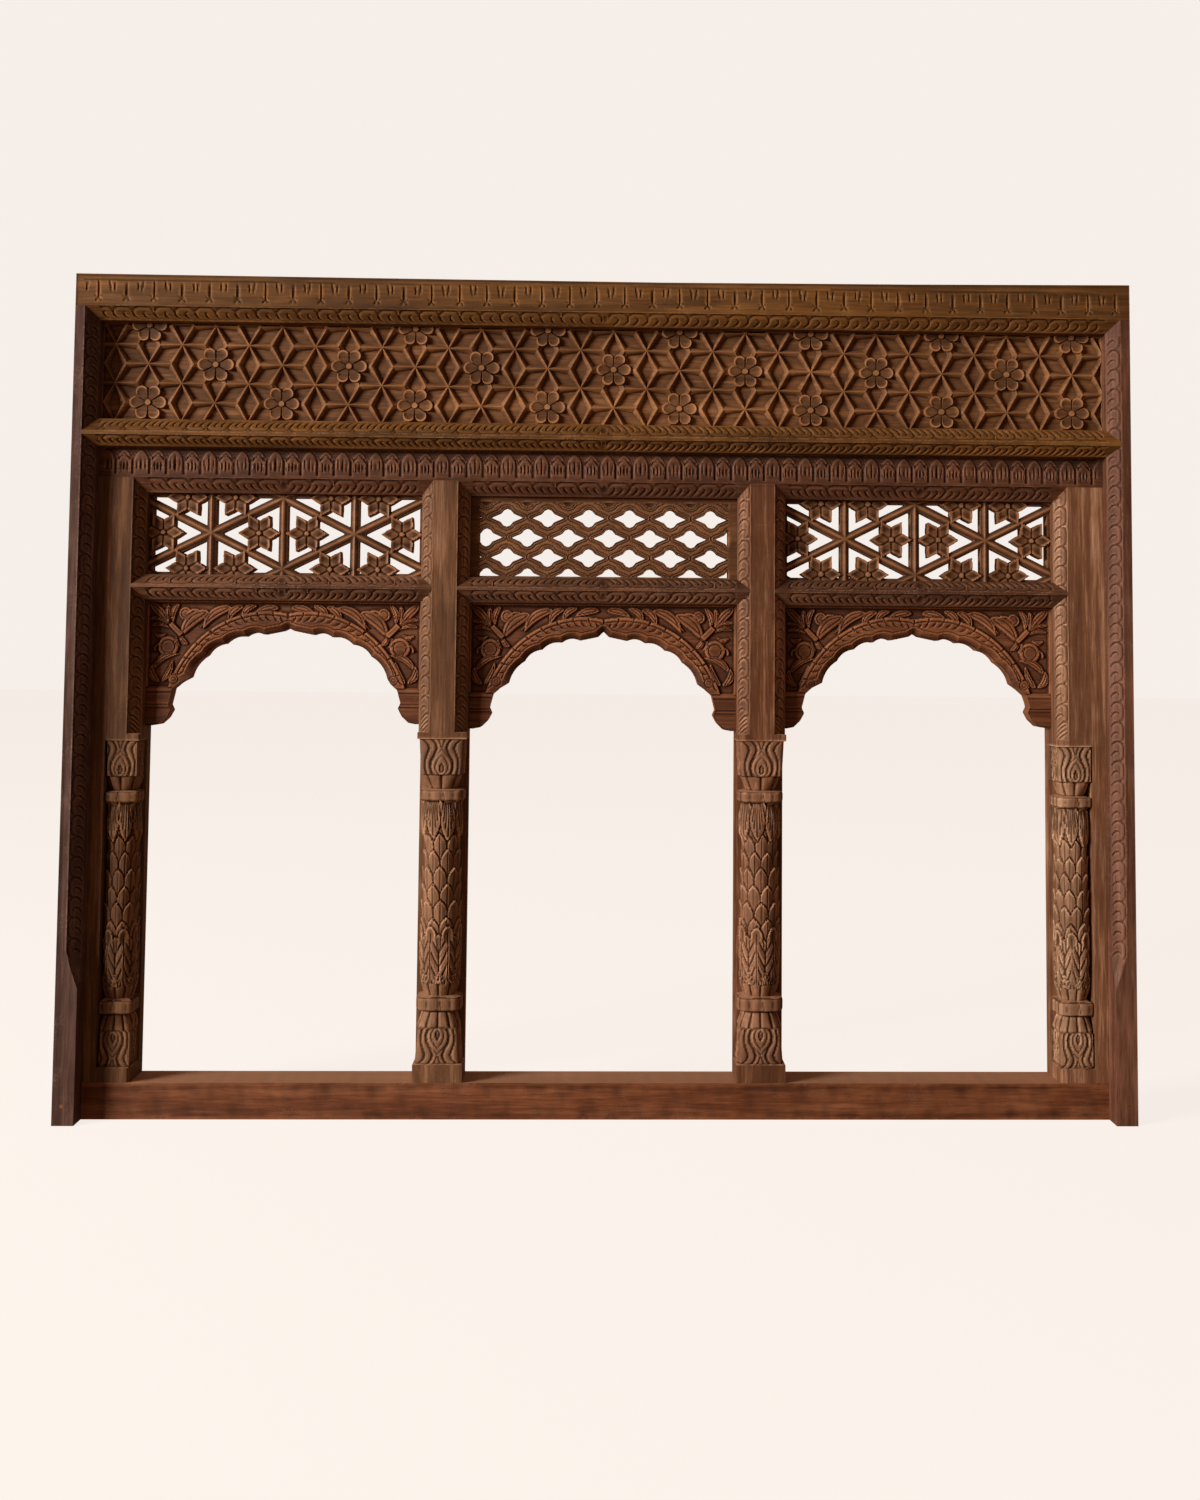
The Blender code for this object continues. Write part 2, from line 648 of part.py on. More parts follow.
def close_board(sheet, box, front, back):
    """Four edge walls and a back for a board whose front is already laid."""
    x0, z0, x1, z1 = box
    tests = [
        (lambda v: abs(v.co.x - x0) < 1e-6, lambda v: v.co.z, (x0, z0), (x0, z1)),
        (lambda v: abs(v.co.x - x1) < 1e-6, lambda v: v.co.z, (x1, z0), (x1, z1)),
        (lambda v: abs(v.co.z - z0) < 1e-6, lambda v: v.co.x, (x0, z0), (x1, z0)),
        (lambda v: abs(v.co.z - z1) < 1e-6, lambda v: v.co.x, (x0, z1), (x1, z1)),
    ]
    rim = [v for v in sheet.bm.verts if abs(v.co.y - front) < 1e-6]
    for on_side, order, first, last in tests:
        line = sorted((v for v in rim if on_side(v)), key=order)
        tail = [sheet.vert(last[0], back, last[1]), sheet.vert(first[0], back, first[1])]
        sheet.bm.faces.new(line + tail)
    sheet.face([(x0, back, z0), (x1, back, z0), (x1, back, z1), (x0, back, z1)])


# ---- pierced screens -----------------------------------------------------
def screen_box(bay):
    """Rectangle a screen fills in its bay."""
    left, right = bay_edges(bay)[:2]
    return (left + GAP, CROSS[3] + GAP, right - GAP, FRIEZE_SOFFIT - GAP)


def triangle_cells(centre, box):
    """Triangles between the upright and slanting bars of a star screen."""
    cells = []
    for column in range(-3, 3):
        x0 = centre + STAR_DX * column
        x1 = x0 + STAR_DX
        shift = STAR_DZ if column % 2 == 0 else 0.0
        for row in range(-2, 3):
            z = SCREEN_MID + 2 * STAR_DZ * row + shift
            shapes = [[(x0, z), (x1, z - STAR_DZ), (x1, z + STAR_DZ)],
                      [(x0, z), (x1, z + STAR_DZ), (x0, z + 2 * STAR_DZ)]]
            for shape in shapes:
                cell = clip_to(shape, box)
                if usable(cell, 2e-6):
                    cells.append(cell)
    return cells


def star_places(centre):
    """Middles of the six-pointed stars in a star screen."""
    places = []
    for column in (-2, -1, 0, 1):
        near, far = (1 / 3, 2 / 3) if column % 2 == 0 else (2 / 3, 1 / 3)
        places.append((centre + STAR_DX * (column + near), SCREEN_MID))
        for rise in (-STAR_DZ, STAR_DZ):
            places.append((centre + STAR_DX * (column + far), SCREEN_MID + rise))
    return places


def star_screen(bay, name):
    """Screen of crossed bars with six-pointed stars between them."""
    box = screen_box(bay)
    centre = STAR_CENTRE[0] if bay < 0 else STAR_CENTRE[1]
    board = prism("y", [(box[0], box[1]), (box[2], box[1]), (box[2], box[3]), (box[0], box[3])],
                  SCREEN_FRONT, SCREEN_BACK)
    cutters = []
    for cell in triangle_cells(centre, box):
        hole = shrink(cell, box, STAR_BAR, SCREEN_EDGE)
        if usable(hole, 3e-5):
            cutters.append(prism("y", hole, SCREEN_FRONT - 0.01, SCREEN_BACK + 0.01))
    lattice = combine(board, merge(cutters), "DIFFERENCE")
    inside = (box[0] + 0.001, box[1] + 0.001, box[2] - 0.001, box[3] - 0.001)
    stars = []
    for x, z in star_places(centre):
        outline = star_outline(x, z, STAR_R, STAR_NOTCH, inside)
        if usable(outline, 1e-4):
            stars.append(prism("y", outline, SCREEN_FRONT - 0.001, SCREEN_FRONT + 0.013))
    solid = combine(lattice, merge(stars), "UNION")
    return piece(solid, name, BROWN)


def wave_opening(x, z):
    """Lobed lozenge: points left and right, round lobes above and below."""
    quarter = WAVE_LOBES
    top = [(a, b) for a, b in quarter] + [(-a, b) for a, b in reversed(quarter[:-1])]
    bottom = [(-a, -b) for a, b in quarter[1:]] + [(a, -b) for a, b in reversed(quarter[1:-1])]
    return [(x + a, z + b) for a, b in top + bottom]


def wave_screen():
    """Middle screen: a board pierced with staggered lobed lozenges."""
    box = screen_box(0)
    inside = (box[0] + WAVE_MARGIN, box[1] + 0.003, box[2] - WAVE_MARGIN, box[3] - 0.010)
    board = prism("y", [(box[0], box[1]), (box[2], box[1]), (box[2], box[3]), (box[0], box[3])],
                  SCREEN_FRONT, SCREEN_BACK)
    cutters = []
    for row in range(-2, 2):
        z = SCREEN_MID - 0.0025 + WAVE_DZ * row
        for column in range(-4, 5):
            x = WAVE_X0 + WAVE_DX * (column + (0.5 if row % 2 else 0.0))
            hole = clip_to(wave_opening(x, z), inside)
            if usable(hole, 1.2e-4):
                cutters.append(prism("y", hole, SCREEN_FRONT - 0.01, SCREEN_BACK + 0.01))
    solid = combine(board, merge(cutters), "DIFFERENCE")
    return piece(solid, "screen_middle", BROWN)


# ---- arch boards ---------------------------------------------------------
def foil(a, b, rise, steps=3):
    """Points between two cusps on a scallop that bows up and outwards."""
    (ax, az), (bx, bz) = a, b
    length = math.hypot(bx - ax, bz - az)
    normal = ((bz - az) / length, -(bx - ax) / length)
    points = []
    for i in range(1, steps):
        t = i / steps
        lift = rise * 4 * t * (1 - t)
        points.append((ax + (bx - ax) * t + normal[0] * lift, az + (bz - az) * t + normal[1] * lift))
    return points


def half_arch(level, dip, half):
    """Edge from apex to bracket foot as (sideways, height, share of the bevel)."""
    stretch, bracket_stretch, foot = half
    edge = [(0.0, dip), (0.010, 0.0098), (0.025, 0.0130), CUSPS[0]]
    for a, b in zip(CUSPS, CUSPS[1:]):
        edge += foil(a, b, FOIL_RISE) + [b]
    points = [(a * stretch, level - b, 1.0) for a, b in edge]
    for (a, b), share in zip(SHOULDER, (0.75, 0.35)):
        points.append((a * bracket_stretch, level - b, share))
    points += [(a * bracket_stretch, foot + b, 0.0) for a, b in BRACKET]
    return points + [(BRACKET_SIDE * bracket_stretch, foot, 0.0)]


def arch_ring(bay, bevel, y):
    """Section of an arch board: its opening drawn back by a bevel, and its square outside."""
    left, right = bay_edges(bay)[:2]
    centre, level, dip = ARCH_AT[bay]
    halves = []
    for side, half in zip((-1, 1), ARCH_HALVES[bay]):
        line = []
        for across, z, share in half_arch(level, dip, half):
            rise = max(0.001, z - level + ARCH_RADIUS)
            step = bevel * share / math.hypot(across, rise)
            line.append((centre + side * across * (1 + step), z + step * rise))
        halves.append(line)
    top = CROSS[0] - GAP
    outline = halves[1] + [(right - GAP, ARCH_HALVES[bay][1][2]), (right - GAP, top)]
    outline += [(left + GAP, top), (left + GAP, ARCH_HALVES[bay][0][2])]
    outline += list(reversed(halves[0][1:]))
    return [(x, y, z) for x, z in outline]


def spandrel(bay, side):
    """Sunk corner field beside the arch band."""
    left, right = bay_edges(bay)[:2]
    centre, level = ARCH_AT[bay][:2]
    wall = (right - GAP if side > 0 else left + GAP) - side * 0.006
    top = CROSS[0] - 0.0070
    curve = []
    for i in range(7):
        turn = math.radians(78 - 11 * i)
        curve.append((centre + side * 0.233 * math.cos(turn), level - 0.1600 + 0.2000 * math.sin(turn)))
    kept = [p for p in curve if (wall - p[0]) * side > 0.004 and p[1] < top - 0.002]
    start = (kept[0][0], top)
    return [(wall, top), start] + kept + [(wall, kept[-1][1])]


def arch_board(bay, name):
    """Cusped arch board with brackets, a sloping edge and sunk spandrels."""
    solid = loft([arch_ring(bay, ARCH_BEVEL, ARCH_FRONT), arch_ring(bay, 0.0, ARCH_FRONT + ARCH_SLOPE),
                  arch_ring(bay, 0.0, ARCH_BACK)])
    fields = []
    for side in (-1, 1):
        fields.append(prism("y", spandrel(bay, side), ARCH_FRONT - 0.01, ARCH_FRONT + SPANDREL_SINK))
    solid = combine(solid, merge(fields), "DIFFERENCE")
    return piece(solid, name, RED)


def build():
    """Make every piece of the window."""
    clear_scene()
    for side in (-1, 1):
        jamb(side)
        peg(side)
    head_rail()
    star_panel()
    transom()
    frieze_rail()
    sill()
    posts()
    for bay, place in ((-1, "left"), (0, "middle"), (1, "right")):
        cross_rail(bay, "cross_rail_" + place)
        arch_board(bay, "arch_board_" + place)
    star_screen(-1, "screen_left")
    wave_screen()
    star_screen(1, "screen_right")


build()
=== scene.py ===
"""Looks of the carved arched window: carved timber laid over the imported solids.

Every piece of carving is a sheet of points pushed in along its own surface by
strokes of a gouge, so one small set of strokes makes the whole window.
"""

import math

import bmesh
import bpy
import numpy as np
from mathutils import Matrix, Vector
from mathutils.geometry import delaunay_2d_cdt


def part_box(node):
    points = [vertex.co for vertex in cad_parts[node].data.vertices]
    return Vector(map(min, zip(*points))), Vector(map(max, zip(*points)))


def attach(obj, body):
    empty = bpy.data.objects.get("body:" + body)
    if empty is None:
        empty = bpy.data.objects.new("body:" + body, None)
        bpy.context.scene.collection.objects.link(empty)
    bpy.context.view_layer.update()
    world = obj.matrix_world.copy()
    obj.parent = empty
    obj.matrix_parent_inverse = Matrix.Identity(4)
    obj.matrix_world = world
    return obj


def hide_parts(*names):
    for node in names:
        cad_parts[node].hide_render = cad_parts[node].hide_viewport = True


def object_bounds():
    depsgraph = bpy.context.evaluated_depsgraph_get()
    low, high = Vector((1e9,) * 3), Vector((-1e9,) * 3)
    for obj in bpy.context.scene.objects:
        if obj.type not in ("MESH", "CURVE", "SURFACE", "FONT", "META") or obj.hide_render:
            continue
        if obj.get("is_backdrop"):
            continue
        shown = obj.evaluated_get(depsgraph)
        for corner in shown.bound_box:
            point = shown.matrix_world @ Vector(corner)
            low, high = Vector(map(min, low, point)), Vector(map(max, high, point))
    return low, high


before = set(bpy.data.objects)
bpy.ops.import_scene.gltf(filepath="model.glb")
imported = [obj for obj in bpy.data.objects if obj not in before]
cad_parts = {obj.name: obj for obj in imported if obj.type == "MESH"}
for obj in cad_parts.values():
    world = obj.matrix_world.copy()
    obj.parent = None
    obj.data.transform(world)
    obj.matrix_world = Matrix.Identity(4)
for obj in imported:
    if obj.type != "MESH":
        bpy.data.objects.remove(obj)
cad_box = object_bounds()

MM = 0.001

# ---- sizes shared with the solids ----------------------------------------
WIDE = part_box("head_rail")[1].x               # half the window's width
FRONT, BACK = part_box("head_rail")[0].y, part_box("head_rail")[1].y
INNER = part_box("frieze_rail")[0].y            # front plane of the set-back timbers
GAP = 0.0003                                  # clearance between neighbouring pieces
JAMB_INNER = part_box("right_jamb")[0].x
JAMB_BEVEL = 0.021                            # chamfer of a jamb, along X
JAMB_ARRIS = JAMB_INNER + JAMB_BEVEL          # plain face of a jamb starts here
CHAMFER = 0.022                               # depth of the big front chamfers
HEAD_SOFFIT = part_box("head_rail")[0].z
HEAD_ARRIS = HEAD_SOFFIT + CHAMFER
HEAD_TOP = ([-0.950, -0.450, 0.100, 0.550, 0.950], [1.4960, 1.4950, 1.4945, 1.4975, 1.5020])
STOP_RISE = ([0.235, 0.252, 0.272, 0.300], [0.03, 0.32, 0.66, 1.0])   # foot of a jamb's chamfer
TRANSOM = (1.1894, 1.2073, 1.2142, 1.2382)    # foot, ridge, ridge, top
FRIEZE_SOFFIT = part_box("frieze_rail")[0].z
FRIEZE_ARRIS = FRIEZE_SOFFIT + 0.0257
LEDGE = 0.020                                 # depth of the posts' and frieze's chamfers
CROSS = (0.9160, 0.9378, 0.9432, 0.9620)
SILL_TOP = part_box("sill")[1].z
POST_MIDDLES = {"post_2": -0.2890, "post_3": 0.2865}
POST_HALF = 0.044
POST_FACE = 0.0223                            # half width of a middle post's plain front
SIDE_FACE = 0.0215                            # chamfer of an outer post, along X
POST_1_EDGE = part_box("post_1")[1].x
POST_4_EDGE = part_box("post_4")[0].x
GARLAND_TURN = -0.004                         # the long garlands turn round here, along X

# ---- colours, as seen on the lit timber ----------------------------------
BACKDROP = (246, 239, 233)
DUST = (186, 158, 136)
# colour of the painted light on upward-facing surfaces
PAINTED_TOP_LIGHT = (236, 180, 142)
TIMBERS = {                                   # dark, middle and light tones, grain's axis, seed, dust
    "head": ((72, 44, 14), (113, 72, 30), (154, 103, 50), "x", 3.0),
    "panel": ((80, 49, 25), (128, 83, 47), (174, 121, 76), "x", 5.0),
    "rail": ((60, 35, 21), (98, 62, 40), (148, 100, 70), "x", 7.0),
    "frieze": ((62, 34, 18), (93, 54, 33), (132, 84, 56), "x", 8.0),
    "arch": ((73, 38, 19), (114, 65, 37), (160, 101, 62), "x", 9.0),
    "screen": ((76, 45, 23), (116, 74, 43), (156, 106, 68), "x", 11.0),
    "sill": ((84, 42, 20), (130, 74, 42), (164, 104, 68), "x", 13.0, 0.15),
    "left_jamb": ((58, 34, 26), (94, 62, 50), (130, 98, 84), "z", 15.0, 0.3),
    "right_jamb": ((74, 42, 28), (112, 69, 48), (154, 108, 84), "z", 16.0),
    "post_1": ((68, 40, 21), (108, 70, 40), (156, 110, 74), "z", 17.0),
    "post_2": ((78, 48, 27), (126, 84, 52), (188, 140, 106), "z", 19.0),
    "post_3": ((82, 47, 26), (118, 72, 42), (194, 144, 110), "z", 21.0),
    "post_4": ((92, 56, 35), (138, 92, 62), (216, 168, 132), "z", 23.0),
}


def tone(red, green, blue):
    """A screen colour as the linear values the shaders use."""
    steps = [c / 255 for c in (red, green, blue)]
    return [c / 12.92 if c < 0.04045 else ((c + 0.055) / 1.055) ** 2.4 for c in steps]


# ---- strokes of the gouge ------------------------------------------------
def ramp(distance, reach=1):
    """Share of the way along a reach, held from 0 to 1."""
    return np.clip(distance / reach, 0, 1)


def seam(distance, half):
    """Sharp groove, 1 on its line and 0 at half its width."""
    return np.clip(1 - np.abs(distance) / half, 0, None)


def vee(distance, half):
    """Depth of a V-groove along a line."""
    return np.clip(half - np.abs(distance), 0, None)


def chance(index, seed=0.0):
    """Steady random number from -1 to 1 for each whole index."""
    wave = np.sin(np.asarray(index) * 12.9898 + seed * 78.233) * 43758.5453
    return 2 * (wave - np.floor(wave)) - 1


def uneven(u, v, seed, scale=1.0):
    """Slow hand-planed waviness, about -1 to 1."""
    total = np.zeros_like(u)
    for i in range(6):
        turn = seed * 1.7 + i * 2.4
        pull = (18 + 23 * i) / scale
        total = total + np.sin(pull * (u * math.cos(turn) + v * math.sin(turn)) + seed * 3.1 + i) / (1.4 + i)
    return total / 1.6


def gouge(u, v, start, end, width, bow=0.0, belly=0.5, blunt=0.75):
    """Depth of a V-cut between two points, widest at its belly and bowed to its left."""
    du, dv = end[0] - start[0], end[1] - start[1]
    length = math.hypot(du, dv)
    along = ((u - start[0]) * du + (v - start[1]) * dv) / length ** 2
    inside = ramp(along)
    across = ((v - start[1]) * du - (u - start[0]) * dv) / length - bow * 4 * inside * (1 - inside)
    share = inside ** (math.log(0.5) / math.log(belly))
    half = width / 2 * (4 * share * (1 - share)) ** blunt
    half = np.where((along > 0) & (along < 1), half, 0.0)
    return np.clip(half - np.abs(across), 0.0, None)


def pit(u, v, middle, across, up, power=2.0):
    """Rounded dip, 1 in the middle and 0 at its edge."""
    reach = np.abs((u - middle[0]) / across) ** power + np.abs((v - middle[1]) / up) ** power
    return np.clip(1 - reach, 0.0, None)


def blurred(height, passes):
    """Local mean of a grid of heights."""
    for _ in range(passes):
        padded = np.pad(height, 1, mode="edge")
        height = (padded[:-2, 1:-1] + padded[2:, 1:-1] + padded[1:-1, :-2] + padded[1:-1, 2:]
                  + 2 * padded[1:-1, 1:-1]) / 6
    return height


def tones(height, passes=5):
    """Shares of grime with painted shade, and of wear with painted highlight, for each point of a carved
    grid.
    """
    rise = height - blurred(height, passes)
    # painted shade with grime: points sunk below their surroundings, and deep points, are darkened
    hollow = ramp(-rise, 0.0004) * 0.8 + ramp(-height, 0.004) * 0.2
    # painted highlight with wear: points raised over their surroundings are lightened
    wear_and_highlight = ramp(rise - 0.00012, 0.0009)
    return hollow, wear_and_highlight


# ---- meshes --------------------------------------------------------------
def place_object(name, data):
    """New object in the scene."""
    obj = bpy.data.objects.new(name, data)
    bpy.context.scene.collection.objects.link(obj)
    return obj


def regions(faces, walls):
    """Groups of triangles that meet across edges other than the walls."""
    beside = {}
    for number, face in enumerate(faces):
        for i in range(3):
            beside.setdefault(frozenset((face[i - 1], face[i])), []).append(number)
    waiting, groups = set(range(len(faces))), []
    while waiting:
        group, edge_of = [], [waiting.pop()]
        while edge_of:
            number = edge_of.pop()
            group.append(number)
            for i in range(3):
                edge = frozenset((faces[number][i - 1], faces[number][i]))
                fresh = [n for n in beside[edge] if n in waiting and edge not in walls]
                waiting.difference_update(fresh)
                edge_of.extend(fresh)
        groups.append(group)
    return groups


def close_back(bm, back, gap):
    """Walls from the open edges of a sheet straight back, and a flat back where gap is positive."""
    rim = [edge for edge in bm.edges if edge.is_boundary]
    made = bmesh.ops.extrude_edge_only(bm, edges=rim)["geom"]
    bm.verts.index_update()
    fresh = sorted((v for v in made if isinstance(v, bmesh.types.BMVert)), key=lambda v: v.index)
    index = {v: i for i, v in enumerate(fresh)}
    for v in fresh:
        v.co.y = back
    flat = [Vector((v.co.x, v.co.z)) for v in fresh]
    loops = sorted(sorted(index[v] for v in e.verts) for e in made
                   if isinstance(e, bmesh.types.BMEdge) and all(v in index for v in e.verts))
    points, _, faces, source, _, _ = delaunay_2d_cdt(flat, loops, [], 1, 1e-7)
    place = {i: new for new, olds in enumerate(source) for i in olds}
    walls = {frozenset(place[i] for i in loop) for loop in loops}
    for group in regions(faces, walls):
        middles = np.array([[sum(points[i][k] for i in faces[n]) / 3 for k in (0, 1)] for n in group])
        if gap(middles[:, 0], middles[:, 1]).sum() > 0:
            for n in group:
                bm.faces.new([fresh[source[i][0]] for i in faces[n]])


class Shell:
    """Points and faces of one piece, with each point's shares of grime with painted shade and of wear with
    painted highlight.
    """

    def __init__(self):
        self.points, self.faces, self.hollow, self.wear_and_highlight = [], [], [], []

    def add(self, points, faces, hollow=0.0, wear_and_highlight=0.0):
        base = len(self.points)
        points = np.asarray(points, float).reshape(-1, 3)
        self.points.extend(points.tolist())
        self.faces.extend([[base + i for i in face] for face in faces])
        for kept, value in ((self.hollow, hollow), (self.wear_and_highlight, wear_and_highlight)):
            kept.extend(np.broadcast_to(np.asarray(value, float).ravel(), len(points)).tolist())

    def grid(self, points, hollow=0.0, wear_and_highlight=0.0, wrap=False):
        """Quads over a (rows, columns, 3) array of points."""
        rows, cols = points.shape[:2]
        index = np.arange(rows * cols).reshape(rows, cols)
        if wrap:
            index = np.hstack([index, index[:, :1]])
        quads = np.stack([index[:-1, :-1], index[:-1, 1:], index[1:, 1:], index[1:, :-1]], -1)
        self.add(points, quads.reshape(-1, 4).tolist(), hollow, wear_and_highlight)

    def make(self, name, material, node=None, back=None, gap=None, weld=0.00002, crease=42):
        """Weld the sheets into one mesh, close it at its back, shade it, hang it under the root and hide the
        solid it takes the place of.
        """
        mesh = bpy.data.meshes.new("carved_" + name)
        mesh.from_pydata(self.points, [], self.faces)
        # stores the painted shade with grime share and the painted highlight with wear share on the points
        for label, values in (("hollow", self.hollow), ("wear_and_highlight", self.wear_and_highlight)):
            mesh.attributes.new(label, "FLOAT", "POINT").data.foreach_set("value", values)
        bm = bmesh.new()
        bm.from_mesh(mesh)
        bmesh.ops.remove_doubles(bm, verts=bm.verts, dist=weld)
        bmesh.ops.dissolve_degenerate(bm, edges=bm.edges, dist=weld / 2)
        if back is None:
            bmesh.ops.holes_fill(bm, edges=[edge for edge in bm.edges if edge.is_boundary], sides=0)
        else:
            close_back(bm, back, gap or (lambda x, z: np.ones_like(x)))
        bmesh.ops.recalc_face_normals(bm, faces=bm.faces)
        bm.to_mesh(mesh)
        bm.free()
        mesh.shade_smooth()
        mesh.set_sharp_from_angle(angle=math.radians(crease))
        mesh.materials.append(material)
        obj = place_object("carved_" + name, mesh)
        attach(obj, "root")
        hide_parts(node or name)


def span(shell, first, last, cols, carve, centre):
    """Carved strip between two key lines; centre is a point inside the timber."""
    share = np.linspace(0, 1, cols + 1)[None, :, None]
    points = first[:, None] * (1 - share) + last[:, None] * share
    if carve is None:
        shell.grid(points)
        return
    wide = last - first
    along = np.gradient((first + last) / 2, axis=0)
    normal = np.cross(along, wide)
    length = np.linalg.norm(normal, axis=1, keepdims=True)
    normal = normal / np.where(length < 1e-12, 1, length)
    away = (first + last) / 2 - centre
    away[:, np.argmax(np.ptp(first, axis=0))] = 0             # only the place across the timber counts
    outward = np.einsum("ij,ij->i", normal, away)
    normal = normal * np.where(outward < 0, -1.0, 1.0)[:, None]
    across = share[..., 0] * np.linalg.norm(wide, axis=1)[:, None]
    height = carve(points, across)
    height[:, [0, -1]] = 0
    height[[0, -1]] = 0
    height = np.minimum(np.where(length > 1e-12, height, 0), 0)
    # the strip's points carry painted shade in hollows and painted highlight on crests, from their depths
    shell.grid(points + normal[:, None] * height[..., None], *tones(height))


def timber(name, material, keys, spans, centre):
    """Piece made of strips between key lines all round; spans says (columns, carve) for the first ones."""
    shell = Shell()
    for i, key in enumerate(keys):
        cols, carve = spans[i] if i < len(spans) else (1, None)
        span(shell, key, keys[(i + 1) % len(keys)], cols, carve, np.array(centre))
    shell.make(name, material)


def steps_between(low, high, size, *stops):
    """Rows about size apart from low to high, with rows exactly at the stops."""
    marks = sorted({low, high, *stops})
    rows = [np.linspace(a, b, max(2, round((b - a) / size) + 1))[:-1] for a, b in zip(marks, marks[1:])]
    return np.concatenate(rows + [[high]])


def lines(rows, axis, *corners):
    """Key lines along one axis; each corner is a pair of numbers or arrays."""
    made = []
    for a, b in corners:
        a, b = np.broadcast_to(a, rows.shape), np.broadcast_to(b, rows.shape)
        made.append(np.stack((rows, a, b) if axis == "x" else (a, b, rows), -1))
    return made


# ---- carved patterns -----------------------------------------------------
TONGUE_START, TONGUE_PITCH = 0.9104, 49.6 * MM           # leftmost tongue's place and the spacing
PALM_START, PALM_PITCH, PALM_FOOT = 0.8670, 60.1 * MM, 1.1433    # the same for palmettes, and their foot


def garland_unit(s, v, pitch, low, high, lobes):
    """Cuts of one half-leaf: a scalloped edge along the arris and arcs falling from it to the ledge."""
    def at(share, level):
        return (share * pitch, low + level * (high - low))

    tall = high - low
    bend = np.abs(2 * ramp(s, pitch) - 1)
    away = np.abs(v - low - tall * (0.93 - 0.31 * bend ** 4)) / np.hypot(1, 2.5 * tall / pitch * bend ** 3)
    away = np.where((s > 0) & (s < pitch), away, 1.0)
    cuts = [vee(away, 1.7 * MM), vee(away, 5 * MM) * 0.16]
    lean = -0.10 if lobes > 2 else -0.19
    for k in range(lobes):
        top, peak = 1 - k / lobes, 0.62 if k == 0 else 0.55
        start, end = at(top - 0.30, 0.0), at(top, peak)
        bow = lean * math.hypot(end[0] - start[0], end[1] - start[1])
        cuts.append(gouge(s, v, start, end, 4.2 * MM, bow=bow, belly=0.6, blunt=0.3))
        if k > 0:
            tip = at(top - 0.13, peak + 0.10)
            cuts.append(gouge(s, v, end, tip, 2.6 * MM, bow=0.8 * MM, blunt=0.4))
    return np.maximum.reduce(cuts) * 1.7


def garland(along, v, pitch, start, width, flip=None, seed=0.0, lobes=2):
    """Depths of a garland over a chamfer; it turns round at flip, where a bulb stands."""
    turns = flip is not None
    bulb = 0.16 * pitch if turns else 0
    run = along - (flip if turns else start)
    run = run * (np.where(run < 0, -1, 1) if turns else 1) - bulb
    unit = np.floor(run / pitch)
    s = run - unit * pitch
    total = np.zeros_like(s)
    for step in (-1, 0, 1):
        nudge = chance(unit + step, seed) * 0.9 * MM
        deep = 1 + 0.15 * chance(unit + step, seed + 4)
        here = garland_unit(s - step * pitch + nudge, v, pitch, 2.8 * MM, width - 1.6 * MM, lobes)
        total = np.maximum(total, deep * here)
    if turns:
        dip = 2 * MM * pit(run + bulb, v - width / 2, (0, 0), 0.2 * pitch, 9 * MM)
        total = np.where(run < 0, dip, total)
    return total * ramp(np.minimum(v - 1.4 * MM, width - 1.0 * MM - v), MM)


def chamfer(axis, pitch, width, ends, arris_last=False, flip=None, seed=0.0, lobes=2):
    """Carving of a whole chamfer strip."""
    def carve(points, across):
        along = points[..., axis]
        v = np.clip(across if arris_last else across.max() - across, 0, width)
        depth = garland(along, v, pitch, 0, width, flip, seed, lobes)
        depth = depth * ramp(along - ends[0], 3 * MM) * ramp(ends[1] - along, 3 * MM)
        return -depth - 0.3 * MM * (1 + uneven(along, v * 3, seed + 5)) * ramp(v, 3 * MM)
    return carve


def tongue_frieze(points, across):
    """Head rail's row of tongues: long gouges with notched feet and short pairs between them."""
    x, z = points[..., 0], points[..., 2]
    unit = np.round((x + TONGUE_START) / TONGUE_PITCH)
    s = x + TONGUE_START - unit * TONGUE_PITCH + chance(unit, 2) * 0.7 * MM
    z = z - (HEAD_ARRIS + 8.6 * MM) + chance(unit, 3) * 0.6 * MM
    between = np.abs(np.abs(s) - TONGUE_PITCH / 2)
    depth = gouge(s, z, (0, 38 * MM), (0, 4 * MM), 4.6 * MM, belly=0.6, blunt=0.35) * 2.0
    for side in (-MM, MM):
        cheek = gouge(s, z, (side * 6.4, -0.6 * MM), (0, 6.4 * MM), 3.8 * MM, belly=0.4) * 1.9
        notch = gouge(s, z, (side * 2, 6 * MM), (side * 7.4, 11 * MM), 2.8 * MM) * 1.4
        depth = np.maximum.reduce([depth, cheek, notch])
    short = gouge(between, z, (5.2 * MM, 37.5 * MM), (2.8 * MM, 15 * MM), 4.0 * MM, belly=0.45) * 1.7
    depth = np.maximum.reduce([depth, short, vee(z - 38.2 * MM, 1.1 * MM)])
    rounded = 2.2 * MM * ramp(1 - (np.interp(x, *HEAD_TOP) - points[..., 2]) / (4.5 * MM)) ** 2
    wear_and_highlight = 0.5 * MM * (1 + uneven(x, z * 2, 3))
    return -depth * ramp(WIDE - 0.012 - np.abs(x), 4 * MM) - rounded - wear_and_highlight * ramp(across, 3 * MM)


# strokes from a motif's middle line as (start, end, width, bow, belly, strength), in millimetres
PALM_STROKES = [
    ((0.5, 31), (11.5, 21), 5.0, 3.4, 0.6, 2.0), ((0, 25), (0, 3), 4.6, 0.0, 0.6, 2.0),
    ((5.6, 21), (5.0, 2), 4.0, 0.8, 0.4, 2.0), ((11.4, 16), (9.6, 3), 2.6, 0.0, 0.4, 1.0),
]
BUD_STROKES = [((0, 39), (0, 3), 4.2, 0.0, 0.7, 2.1), ((7.5, 32), (6.0, 3), 3.4, 1.2, 0.6, 1.6)]


